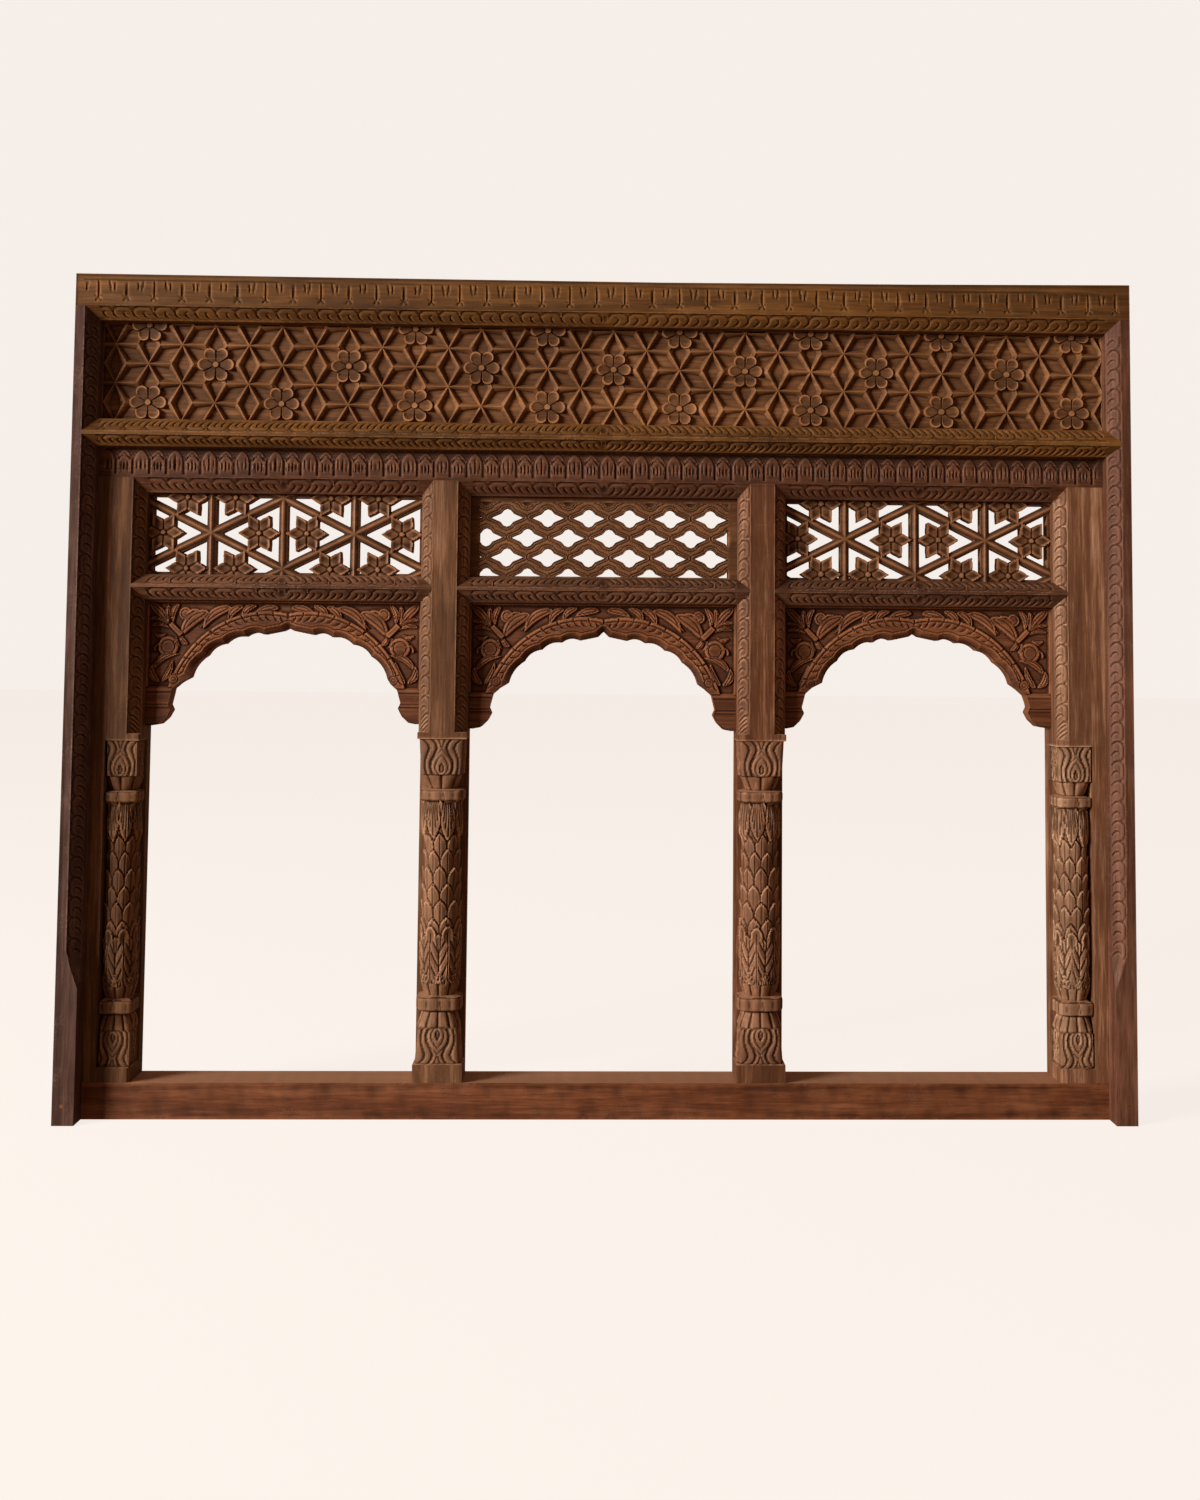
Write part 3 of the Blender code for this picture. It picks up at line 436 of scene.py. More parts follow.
def palmettes(points, across):
    """Frieze rail: hooded palmettes with pointed lotus buds between them."""
    x, z = points[..., 0], points[..., 2] - PALM_FOOT
    unit = np.round((x + PALM_START) / PALM_PITCH)
    near = np.abs(x + PALM_START - unit * PALM_PITCH + chance(unit, 6) * 0.8 * MM)
    bud = np.abs(near - PALM_PITCH / 2)
    arch = np.clip(z - 20 * MM, 0, None) / (24.5 * MM)
    palm, plain = (((c / (15 * MM)) ** 1.7 + arch ** 1.7) ** (1 / 1.7) for c in (near, bud))
    nearest = np.minimum(palm, plain)
    cuts = [
        3.2 * MM * seam(nearest - 0.97, 0.17),
        2.6 * MM * ramp(nearest - 1.0, 0.10),
        1.3 * MM * seam(palm - 0.66, 0.12) * (z > 27 * MM),
    ]
    for middle, strokes in ((near, PALM_STROKES), (bud, BUD_STROKES)):
        for start, end, width, bow, belly, strength in strokes:
            start, end = [c * MM for c in start], [c * MM for c in end]
            cuts.append(gouge(middle, z, start, end, width * MM, bow * MM, belly) * strength)
    line = vee(z - 0.2 * MM, 1.0 * MM)
    inside = ramp(JAMB_INNER - 0.008 - np.abs(x), 4 * MM) * ramp(z + 3 * MM, MM)
    dip = 0.5 * MM * (1 + uneven(x, z * 2, 9)) * ramp(across, 3 * MM)
    return -(np.maximum.reduce(cuts) + line) * inside - dip


def planed(seed, depth=0.35):
    """Hand-planed face with a few shallow dents."""
    def carve(points, across):
        x, z = points[..., 0], points[..., 2]
        edge = np.minimum(across, across.max(axis=1, keepdims=True) - across)
        return -depth * MM * (1 + uneven(x * 2.2, z * 1.3, seed)) * ramp(edge, 2 * MM)
    return carve


# ---- rails and uprights --------------------------------------------------
def head_rail(material):
    """Top rail: tongues on its face and a garland on the chamfer below, mitred over the jambs."""
    x = steps_between(-WIDE, WIDE, 2.2 * MM, -JAMB_ARRIS, -JAMB_INNER, JAMB_INNER, JAMB_ARRIS)
    top = np.interp(x, *HEAD_TOP)
    low = np.interp(np.abs(x), [JAMB_INNER, JAMB_ARRIS], [HEAD_SOFFIT, HEAD_ARRIS])
    keys = lines(x, "x", (FRONT, top), (FRONT, HEAD_ARRIS), (FRONT + (HEAD_ARRIS - low), low), (BACK, low),
                 (BACK, top))
    run = chamfer(0, 36.5 * MM, math.hypot(CHAMFER, CHAMFER), (-JAMB_INNER + 0.004, JAMB_INNER - 0.004),
                  flip=GARLAND_TURN, seed=1)
    timber("head_rail", material, keys, [(22, tongue_frieze), (16, run)], (0, 0, 1.46))


def ridged_rail(name, material, levels, front, depth, walls, tips, pitch, flip, seed):
    """Ridged rail whose ends are cut to points over the chamfers beside it."""
    low, ridge_low, ridge_high, high = levels
    left, right = walls
    x = np.sort(np.concatenate([steps_between(*tips, 2.0 * MM, left, right), walls]))
    reach = np.minimum(np.interp(x, [tips[0], left], [0, 1]), np.interp(x, [right, tips[1]], [1, 0]))
    ledge = front + depth * reach
    deep = np.full_like(x, BACK)
    deep[:np.searchsorted(x, left) + 1] = front
    deep[np.searchsorted(x, right, side="right") - 1:] = front
    deep = np.maximum(deep, ledge)
    upper, lower = ridge_high + (high - ridge_high) * reach, ridge_low + (low - ridge_low) * reach
    keys = lines(x, "x", (front, ridge_low), (front, ridge_high), (ledge, upper), (deep, upper),
                 (deep, lower), (ledge, lower))
    up, down = (chamfer(0, pitch, math.hypot(depth, rise), (left + 0.003, right - 0.003), arris_last=i == 1,
                        flip=flip, seed=seed + i, lobes=3)
                for i, rise in enumerate((high - ridge_high, ridge_low - low)))
    timber(name, material, keys, [(2, None), (16, up)] + 3 * [(1, None)] + [(16, down)],
           (0, (front + BACK) / 2, (low + high) / 2))


def transom(material):
    """Rail under the star panel."""
    ridged_rail("transom", material, TRANSOM, FRONT, CHAMFER,
                (-JAMB_INNER + GAP, JAMB_INNER - GAP), (-JAMB_ARRIS + GAP, JAMB_ARRIS - GAP),
                37 * MM, GARLAND_TURN, 3)


def bay_edges(bay):
    """Left and right walls of a bay, then the tips of its chamfers."""
    left, right = POST_MIDDLES["post_2"], POST_MIDDLES["post_3"]
    if bay < 0:
        return POST_1_EDGE, left - POST_HALF, POST_1_EDGE - SIDE_FACE, left - POST_FACE
    if bay > 0:
        return right + POST_HALF, POST_4_EDGE, right + POST_FACE, POST_4_EDGE + SIDE_FACE
    return left + POST_HALF, right - POST_HALF, left + POST_FACE, right - POST_FACE


def cross_rail(bay, place, material):
    """Rail between one bay's screen and its arch."""
    left, right, left_tip, right_tip = bay_edges(bay)
    ridged_rail("cross_rail_" + place, material, CROSS, INNER, LEDGE, (left + GAP, right - GAP),
                (left_tip + GAP, right_tip - GAP), 39 * MM, (left + right) / 2, 7 + bay)


def frieze_rail(material):
    """Rail of palmettes over the bays."""
    high, edge = TRANSOM[0] - GAP, JAMB_INNER - GAP
    x = steps_between(-edge, edge, 2.15 * MM)
    keys = lines(x, "x", (INNER, high), (INNER, FRIEZE_ARRIS), (INNER + LEDGE, FRIEZE_SOFFIT),
                 (BACK, FRIEZE_SOFFIT), (BACK, high))
    width = math.hypot(LEDGE, FRIEZE_ARRIS - FRIEZE_SOFFIT)

    def under(points, across):
        depth = 0
        for left, right in (bay_edges(bay)[:2] for bay in (-1, 0, 1)):
            run = chamfer(0, 41 * MM, width, (left + 0.004, right - 0.004), flip=(left + right) / 2,
                          seed=left, lobes=3)
            inside = (points[..., 0] > left) & (points[..., 0] < right)
            depth = depth + np.where(inside, run(points, across), 0)
        return depth

    timber("frieze_rail", material, keys, [(25, palmettes), (16, under)], (0, 0.02, 1.15))


def jamb(side, name, material):
    """Upright with a garland down its chamfer and a mitre at its top."""
    top, mitre = HEAD_ARRIS - GAP, HEAD_SOFFIT - GAP
    z = steps_between(0.0, top, 2.0 * MM, STOP_RISE[0][0], mitre)
    cut = np.interp(z, *STOP_RISE) * (z >= STOP_RISE[0][0])
    inner = np.interp(z, [mitre, top], [JAMB_INNER, JAMB_ARRIS])
    arris = JAMB_INNER + JAMB_BEVEL * cut
    ledge = FRONT + CHAMFER * np.minimum(cut, (arris - inner) / JAMB_BEVEL)
    keys = lines(z, "z", (side * WIDE, FRONT), (side * arris, FRONT), (side * inner, ledge),
                 (side * inner, BACK), (side * WIDE, BACK))
    run = chamfer(2, 35.5 * MM, math.hypot(JAMB_BEVEL, CHAMFER), (0.288, mitre - 0.006), seed=11 + side)
    timber(name, material, keys, [(5, planed(12 + side)), (17, run)], (side * 0.935, 0, 0.7))


def sill(material):
    """Plain bottom rail."""
    edge = JAMB_INNER - GAP
    keys = lines(steps_between(-edge, edge, 6 * MM), "x", (INNER, 0.0), (INNER, SILL_TOP), (BACK, SILL_TOP),
                 (BACK, 0.0))
    timber("sill", material, keys, [(8, planed(21, 0.6)), (5, planed(22, 0.6))], (0, 0.02, 0.03))


# ---- posts ---------------------------------------------------------------
SLAB_FRONT = 0.0385                           # front of the plank behind each column
COLUMN_Y = 0.0170
SQUARE_FOOT, SQUARE_STOP = 0.6695, 0.0115     # the square part starts with an unchamfered band
BLOCK_FOOT = 0.0948
SIDE_STRIP = 0.8880                           # plain strip beside an outer column starts here
SIDE_COLUMN, SIDE_SHIFT, SIDE_DROP = 0.88, 0.002, 0.0065
GROOVE = 0.0012                               # gap between an outer column and its strip
FRONT_COLS, SIDE_COLS = 69, 59                # columns of points round a middle and an outer column
# sections of a column as (height, half width, reach forward, squareness)
COLUMN = [
    (0.0960, 0.0435, 0.0380, 8), (0.1560, 0.0390, 0.0370, 8), (0.1590, 0.0405, 0.0370, 3),
    (0.1860, 0.0320, 0.0310, 2), (0.1880, 0.0415, 0.0375, 4), (0.2110, 0.0415, 0.0375, 4),
    (0.2135, 0.0290, 0.0290, 2), (0.2360, 0.0370, 0.0365, 2), (0.2850, 0.0395, 0.0385, 2),
    (0.3450, 0.0385, 0.0385, 2), (0.4200, 0.0370, 0.0365, 2), (0.4935, 0.0350, 0.0340, 2),
    (0.5000, 0.0385, 0.0380, 2), (0.5350, 0.0405, 0.0385, 2), (0.5560, 0.0370, 0.0350, 2),
    (0.5600, 0.0412, 0.0375, 4), (0.5775, 0.0412, 0.0375, 4), (0.5800, 0.0275, 0.0290, 2),
    (0.6040, 0.0360, 0.0340, 3), (0.6065, 0.0405, 0.0375, 8), (0.6680, 0.0435, 0.0380, 8),
]


def rounds(turn, count, offset=0.0):
    """Place across one of count leaves round a column, -1 to 1, and the leaf's number."""
    places = turn / (2 * math.pi / count) - offset
    unit = np.round(places)
    return (places - unit) * 2, unit


def scales(turn, z, low, high, count, rise, seed):
    """Staggered pointed leaves, each row standing over the foot of the next."""
    result = np.full_like(z, -5.0 * MM)
    for row in range(int((high - low) / rise) + 1, -3, -1):
        across, unit = rounds(turn, count, 0.5 * (row % 2))
        across = across + 0.12 * chance(unit + row * 17, seed)
        tip = low + (row + 1.75) * rise + 1.8 * MM * chance(unit + row * 31, seed + 1)
        down = (tip - z) / rise
        side = np.abs(across)
        edge = 0.97 * (1 - ramp(1 - down / 0.86) ** 2.4)
        result = result - 2.4 * MM * seam(side - edge - 0.03, 0.20) * (down > -0.07)
        body = -0.2 * MM - 2.5 * MM * np.clip(down, 0, 2) ** 0.8 - 2.4 * MM * side ** 1.6
        body = body - 1.3 * MM * seam(across, 0.12) * (down > 0.15)
        body = body + 0.6 * MM * seam(side - edge + 0.15, 0.14)
        result = np.where((down > 0) & (down < 1.9) & (side < edge), body, result)
    return result


def drooping(turn, z, low, high, count, offset):
    """Crown of drooping fluted leaves; also tells where they lie and how far each point is outside."""
    across, unit = rounds(turn, count, offset)
    side = np.abs(across)
    reach = (high - z) / (high - low) + 0.03 * chance(unit, 8)
    edge = 0.98 * ramp(1 - (ramp(reach - 0.50) / 0.50) ** 1.7) ** 0.8
    edge = np.where(reach < 0.50, 0.62 + 0.36 * ramp(reach, 0.50), edge)
    body = -0.2 * MM - 1.9 * MM * (1 - ramp(reach, 0.75)) - 1.6 * MM * (side / np.maximum(edge, 0.1)) ** 2
    for line in (0.0, 0.44, 0.84):
        flute = seam(side - line * (0.45 + 0.55 * reach), 0.15)
        body = body - 2.2 * MM * flute * (reach > 0.04) * (reach < 0.90 - 0.45 * line)
    return body, (side < edge) & (reach < 1), side - edge


def acanthus(turn, z, low, high, count, offset):
    """Broad leaves round a foot, spoon tips over rising side lobes; also tells where they lie."""
    across, unit = rounds(turn, count, offset)
    side = np.abs(across)
    reach = (z - low) / (high - low) + 0.015 * chance(unit, 9)
    spoon = 0.74 * np.sqrt(ramp(1 - ((reach - 0.78) / 0.22) ** 2))
    edge = np.where(reach > 0.78, spoon, 0.74 + 0.26 * ramp(0.64 - reach, 0.12) ** 0.6)
    lobe = (reach * 4.0 + 1.6 * side ** 0.6 - 0.3) % 1.0
    body = -0.3 * MM - 1.9 * MM * side ** 2 - 1.2 * MM * (1 - ramp(reach, 0.8))
    lobed = ramp(side - 0.10, 0.10) * ramp(0.70 - reach + 0.22 * side, 0.05)
    body = body - 2.8 * MM * seam(lobe - 0.5, 0.19) * lobed - 0.9 * MM * (1 - lobe) * lobed
    body = body - 2.0 * MM * seam(across, 0.09) * (reach < 0.90)
    body = body - 2.6 * MM * pit(side, reach, (0, 0.83), 0.50, 0.14) ** 0.7
    body = body - 2.4 * MM * ramp(side - 0.88, 0.12) * (reach < 0.62)
    fan_across, fan_reach = 1 - side, reach / 0.22
    fan = np.hypot(fan_across / 0.52, fan_reach)
    arc = -0.6 * MM - 2.4 * MM * seam(fan - 0.86, 0.15)
    rib = (np.arctan2(fan_across, fan_reach + 0.05) * 2.4) % 1.0
    arc = arc - 2.0 * MM * seam(rib - 0.5, 0.24) * (fan < 0.8)
    body = np.where(fan < 1, arc, body)
    return body, (side < edge) & (reach < 1), side - edge


def shaft(turn, z, seed, offset):
    """Scales with the acanthus leaves and the crown laid over them."""
    depth = scales(turn, z, 0.3290, 0.5150, 8, 0.0298, seed)
    leaf, inside, beyond = acanthus(turn, z, 0.2357, 0.3375, 7, offset)
    depth = np.where(inside, leaf, depth - 2.4 * MM * seam(beyond, 0.20) * (z < 0.3395))
    leaf, inside, beyond = drooping(turn, z, 0.4880, 0.5590, 8, offset)
    return np.where(inside, leaf, depth - 2.6 * MM * seam(beyond, 0.26) * (z > 0.4870))


def pads(turn, z, low, high, count, offset=0.5):
    """Row of upright rounded pads with dark slots between them."""
    across, unit = rounds(turn, count, offset)
    reach = ramp(z - low, high - low)
    cushion = ramp(1 - np.abs(across / 0.94) ** 4) ** 0.6 * ramp(1 - (2 * reach - 1) ** 8)
    return -4.6 * MM * (1 - cushion) - 0.6 * MM * (1 + chance(unit, 3)) * cushion


def onion(side, z, foot, tip, wide):
    """Distance outside a pointed drop's outline, negative within."""
    share = ramp(z - foot, tip - foot)
    return side - wide * 2.75 * share ** 0.6 * (1 - share) ** 0.9


# a lotus face in millimetres: nested drops as (foot, tip, half width, depth, outline's depth), and lyre lines
LOTUS_DROPS = [(-6, 44, 19, 0.4, 3.6), (-2, 34, 11.5, 0.2, 3.0), (3, 21, 5.0, 2.2, 1.0)]
LYRE_HEIGHTS = (0, 12, 24, 36, 46, 54, 63)
LYRES = [(17, 21, 20, 13, 9, 11, 18), (28, 31, 31, 27, 23, 26, 36)]


def lotus(s, z, half):
    """Lotus bud on a face: nested drops between lyre-shaped lines, with leaves in the corners."""
    side, z = np.abs(s) / half * 43, z / MM       # millimetres of a face 86 wide
    depth = 1.6 + 0.9 * ramp(side - 20, 22)
    for lyre in LYRES:
        line = np.interp(z, LYRE_HEIGHTS, lyre)
        depth = np.maximum(depth, 0.8 + 3.8 * seam(side - line, 4.6))
    depth = np.maximum(depth, 1.0 + 2.4 * seam(side - 0.35 * (z - 46), 3.0) * (z > 48))
    for foot, tip, wide, floor, groove in LOTUS_DROPS:
        out = onion(side, z, foot, tip, wide)
        depth = np.where(out < 0, floor + 0.9 * (1 + np.clip(out / wide, -1, 0)), depth)
        depth = np.maximum(depth, groove * seam(out, 2.6) * (z > foot) * (z < tip + 2))
    depth = depth - 1.4 * ramp(1 - np.hypot(side, z - 7) / 2.6)
    return -depth * MM


def faced_lotus(s, z, half, flank):
    """The bud on the front, and once more on each flank."""
    s = np.abs(s)
    return np.where(s < half, lotus(s, z, half), lotus(s - half - flank, z, flank))


def collar(s, z, low, high):
    """Chiselled band: flat facets meeting at faint arrises, with one fold and rounded lips."""
    middle = (low + high) / 2
    facet = np.abs((s / (21 * MM) + 0.5) % 1.0 - 0.5) * 2
    fold = gouge(s, z, (2 * MM, high), (6 * MM, low), 3 * MM, blunt=0.3)
    lips = 2.4 * MM * ramp(1 - (high - low) / 2 / MM * 0.22 + np.abs(z - middle) / MM * 0.22) ** 2
    return -1.4 * MM * (1 - facet) ** 2 - fold - lips


def column_relief(s, turn, z, half, offset):
    """Carved depths of a column at s from its front's middle line, round its section."""
    rough = -0.5 * MM * (1 + uneven(s, z, 31 + offset * 7))
    flank = 30 * MM
    zones = [
        (0.0960, 0.1575, lambda: faced_lotus(s, 0.1575 - z, half, flank)),
        (0.1575, 0.1870, lambda: pads(turn, z, 0.1570, 0.1875, 12)),
        (0.1870, 0.2115, lambda: collar(s, z, 0.1875, 0.2115)),
        (0.2115, 0.2357, lambda: pads(turn, z, 0.2110, 0.2365, 10)),
        (0.2357, 0.5590, lambda: shaft(turn, z, 5 + offset, 0.5 + offset)),
        (0.5590, 0.5790, lambda: collar(s, z, 0.5595, 0.5785)),
        (0.5790, 0.6050, lambda: pads(turn, z, 0.5780, 0.6065, 8)),
        (0.6050, 0.6690, lambda: faced_lotus(s, z - 0.6065, half, flank)),
    ]
    depth = rough
    for low, high, relief in zones:
        depth = np.where((z >= low) & (z < high), rough + relief(), depth)
    return depth


def sections(centre, slim, limits, cols):
    """Rows of points round a column, evenly spaced along its section and closer at the front."""
    marks = [row[0] for row in COLUMN]
    z = steps_between(marks[0], SQUARE_FOOT - 1 * MM, 2.1 * MM, *marks[1:])
    half, reach, power = (np.interp(z, marks, [row[i] for row in COLUMN]) for i in (1, 2, 3))
    dense = np.linspace(math.radians(-124), math.radians(124), 721)
    even = np.linspace(0, 1, cols)
    even = even + 0.34 * np.sin(2 * math.pi * even) / (2 * math.pi)
    rows, runs, turns = [], [], []
    for a, b, p in zip(half * slim, reach, power):
        sideways, ahead = np.sin(dense), np.cos(dense)
        x = np.clip(centre + a * np.sign(sideways) * np.abs(sideways) ** (2 / p), *limits)
        y = np.minimum(COLUMN_Y - b * np.sign(ahead) * np.abs(ahead) ** (2 / p), SLAB_FRONT)
        y[[0, -1]] = SLAB_FRONT
        run = np.concatenate([[0], np.cumsum(np.hypot(np.diff(x), np.diff(y)))])
        at = even * run[-1]
        x, y = np.interp(at, run, x), np.interp(at, run, y)
        rows.append(np.stack([x, y], -1))
        runs.append(at - np.interp(0, dense, run))
        turns.append(np.arctan2((x - centre) / a, (COLUMN_Y - y) / b))
    return z, np.array(rows), np.array(runs), np.array(turns)


def column_rows(centre, slim, limits, cols, drop, offset):
    """Carved rows of a column from its block up to the square part, and their depths."""
    z, flat, run, turn = sections(centre, slim, limits, cols)
    level = np.broadcast_to(z[:, None], run.shape)
    depth = column_relief(run, turn, level, 42 * MM * slim, offset)
    depth = depth * ramp(SLAB_FRONT - flat[..., 1], 4 * MM)
    along = np.gradient(flat, axis=1)
    along = along / np.maximum(np.linalg.norm(along, axis=2, keepdims=True), 1e-9)
    x, y = flat[..., 0] + along[..., 1] * depth, flat[..., 1] - along[..., 0] * depth
    return np.stack([np.clip(x, *limits), y, level - drop], -1), depth


def spaced(corners, counts):
    """Points along a bent line; counts says how many each stretch gives."""
    parts = []
    for i, count in enumerate(counts):
        a, b = np.array(corners[i]), np.array(corners[i + 1])
        last = i == len(counts) - 1
        parts.append(a + (b - a) * np.linspace(0, 1, count, endpoint=last)[:, None])
    return np.concatenate(parts)


def square_rows(corners, counts, carved, foot, seed):
    """Carved rows of a post's square part: an unchamfered band, then chamfers up to the frieze rail."""
    ledge, band_top = INNER + LEDGE, foot + SQUARE_STOP
    z = steps_between(foot, FRIEZE_ARRIS - GAP, 2.4 * MM, band_top, band_top + 1 * MM, FRIEZE_SOFFIT - GAP)
    flat = spaced(corners, counts)
    top = FRIEZE_SOFFIT - GAP + (FRIEZE_ARRIS - FRIEZE_SOFFIT) / LEDGE * np.clip(ledge - flat[:, 1], 0, None)
    level = np.minimum(z[:, None], top[None, :])
    base = np.concatenate([np.broadcast_to(flat[None], (len(z), len(flat), 2)), level[..., None]], -1)
    height = np.zeros_like(level)
    starts = np.concatenate([[0], np.cumsum(counts)])
    for i, kind in carved.items():
        a, b = np.array(corners[i]), np.array(corners[i + 1])
        here = slice(starts[i], starts[i + 1] + 1)
        rise, width = level[:, here], math.hypot(*(b - a))
        v = np.linalg.norm(flat[here] - a, axis=1)[None, :] + 0 * rise
        if kind == "face":
            cut = 0.35 * MM * (1 + uneven(base[:, here, 0] * 2.4, rise * 1.2, seed))
        else:
            cut = post_garland(rise - band_top, v if kind == "rising" else width - v, width, seed + i)
            cut = cut * ramp(rise - band_top - 1 * MM, 1.5 * MM)
        cut = cut * ramp(np.minimum(v, width - v), 2 * MM) * ramp(top[None, here] - rise, 2 * MM)
        normal = np.array([b[1] - a[1], a[0] - b[0]]) / width
        base[:, here, :2] += -cut[..., None] * normal
        height[:, here] -= cut
        if kind != "face":
            square = squared(a, b, v / width * 2, kind)
            base[:, here, :2] = np.where((z <= band_top + 1e-6)[:, None, None], square, base[:, here, :2])
    return base, height


def squared(a, b, share, kind):
    """Points of the square corner that stands before a chamfer from a to b; share runs from 0 to 2."""
    corner = np.array([a[0], b[1]]) if kind == "rising" else np.array([b[0], a[1]])
    first = a + (corner - a) * ramp(share)[..., None]
    return np.where((share < 1)[..., None], first, corner + (b - corner) * ramp(share - 1)[..., None])


def post_garland(z, v, width, seed):
    """Chamfer of a post, z from its foot: three twisted tongues, then the garland."""
    start = 30 * MM
    depth = garland(z, v, 36 * MM, start, width, None, seed) * ramp(z - start, MM)
    for i in range(4):
        low = 1 * MM + 8 * MM * i
        first, last = (low - 5 * MM, 4 * MM), (low + 13 * MM, width - 3 * MM)
        depth = np.maximum(depth, gouge(z, v, first, last, 4.6 * MM, bow=-2.2 * MM, blunt=0.45) * 1.1)
    return depth + 0.3 * MM


def column_part(column, depth, plan, counts, block_top, before, after):
    """Rows of a block and its column between the plain lines beside them, and their depths."""
    plan = spaced(plan, counts)
    block = [np.column_stack([plan, np.full(len(plan), level)]) for level in (SILL_TOP + GAP, block_top)]
    rows = np.concatenate([block, column])
    z = rows[:, 0, 2]
    rows = np.concatenate(upright(z, *before) + [rows] + upright(z, *after), 1)
    return rows, np.pad(depth, ((2, 0), (len(before), len(after))))


def skin(name, material, low, low_depth, square, square_depth):
    """One closed post from its foot, its column and its square part."""
    hollow, wear_and_highlight = tones(np.concatenate([low_depth, square_depth], 0))
    carved = (low_depth < 0) & (low[..., 2] > BLOCK_FOOT)
    rows = len(low)
    # painted highlight with wear: every carved point of a column outside the hollows is lightened
    wear_and_highlight[:rows] = np.where(carved, np.maximum(wear_and_highlight[:rows], 0.3 * (1 - hollow[:rows])), 0)
    shell = Shell()
    shell.grid(np.concatenate([low, square], 0), hollow, wear_and_highlight, wrap=True)
    shell.make(name, material)


def upright(z, *places):
    """Straight columns of points at fixed plan positions."""
    return [np.stack([np.full(len(z), x), np.full(len(z), y), z], -1)[:, None] for x, y in places]


def middle_post(name, material, seed, offset):
    """A post between two bays: both chamfers, and its column the full width."""
    middle = POST_MIDDLES[name]
    left, right, ledge = middle - POST_HALF, middle + POST_HALF, INNER + LEDGE
    column = column_rows(middle, 1.0, (left, right), FRONT_COLS, 0.0, offset)
    plan = [(left, SLAB_FRONT), (left, INNER), (right, INNER), (right, SLAB_FRONT)]
    low = column_part(*column, plan, (15, FRONT_COLS - 30, 15), BLOCK_FOOT,
                      [(left, BACK), (left, SLAB_FRONT)], [(right, SLAB_FRONT), (right, BACK)])
    corners = [(left, BACK), (left, ledge), (middle - POST_FACE, INNER), (middle + POST_FACE, INNER),
               (right, ledge), (right, BACK)]
    face = low[0].shape[1] - 2 * (7 + 18)         # what the sides and chamfers leave for the front
    square = square_rows(corners, (7, 18, face, 18, 7), {1: "rising", 2: "face", 3: "falling"}, SQUARE_FOOT,
                         seed)
    skin(name, material, *low, *square)


def outer_post(name, side, edge, material, seed, offset):
    """A post beside a jamb: one chamfer, a narrower column and a plain strip at the jamb."""
    outer, strip = JAMB_INNER - GAP, SIDE_STRIP
    centre = (edge + strip) / 2 + SIDE_SHIFT
    column = column_rows(centre, SIDE_COLUMN, (edge + 0.6 * MM, strip - GROOVE), SIDE_COLS, SIDE_DROP, offset)
    plan = [(edge, SLAB_FRONT), (edge, INNER + 10 * MM), (edge + 5 * MM, INNER), (strip - 2 * GROOVE, INNER)]
    low, depth = column_part(*column, plan, (12, 4, SIDE_COLS - 16), BLOCK_FOOT - SIDE_DROP,
                             [(edge, BACK), (edge, SLAB_FRONT)],
                             [(strip, SLAB_FRONT), (strip, INNER), (outer, INNER), (outer, BACK)])
    low[:2, -4, :2] = strip - GROOVE, INNER       # the groove beside the column ends above the block
    corners = [(edge, BACK), (edge, INNER + LEDGE), (edge + SIDE_FACE, INNER), (strip, INNER),
               (outer, INNER), (outer, BACK)]
    face = low.shape[1] - (7 + 20 + 1 + 2)
    square, height = square_rows(corners, (7, 20, face, 1, 2), {1: "rising", 2: "face"},
                                 SQUARE_FOOT - SIDE_DROP, seed)
    mirror = (side, 1, 1)
    skin(name, material, low * mirror, depth, square * mirror, height)


def posts(timbers):
    """The four posts from left to right."""
    outer_post("post_1", -1, -POST_1_EDGE, timbers["post_1"], 40, 0.0)
    middle_post("post_2", timbers["post_2"], 43, 0.0)
    middle_post("post_3", timbers["post_3"], 46, 0.25)
    outer_post("post_4", 1, POST_4_EDGE, timbers["post_4"], 49, 0.15)


# ---- star panel ----------------------------------------------------------
PANEL_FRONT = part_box("star_panel")[0].y
PANEL_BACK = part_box("star_panel")[1].y
PANEL_FLOOR = 0.0090                          # depth of the sunk lozenges
LATTICE_X, LATTICE_Z = 0.0602, 0.0705         # spacing of star columns, and of stars within one
LATTICE_ORIGIN = (0.0134, 1.2723)             # a star's middle, as x and z
ROSETTE_EVERY = 4                             # columns of stars from one rosette to the next in its row
ROSETTE_R = 0.0337
# half a rib as (share of its reach, depth in millimetres), and how dark the painted shade makes its rings and
# the floor's two
RIB_PROFILE = [(0.0, 0.3), (0.10, 0.0), (0.50, 2.7), (0.86, 5.6), (0.96, 8.2), (1.10, 8.6)]
RIB_SHADE = [0.1, 0, 0, 0.25, 0.85, 0.45, 0.1, 0.05]
RIB_REACH = (8.0 * MM, 9.6 * MM)              # in from a cell's corners, by turns; less where it is cut
CUT_REACH = 6.5 * MM
CELL_FLOOR = 8.4                              # in millimetres
CELL_STEPS = 5                                # points along each side of a cell
# rings of a rosette as (share of its radius, depth in millimetres): boss, hollow, petals and rim
ROSETTE_RINGS = [(0.0, -1.4), (0.09, -1.1), (0.14, -0.2), (0.17, 3.4), (0.22, 3.0), (0.32, 2.5), (0.45, 2.4),
                 (0.60, 2.3), (0.74, 2.0), (0.83, 1.0), (0.90, 0.0), (0.95, 0.2), (1.0, 0.4)]


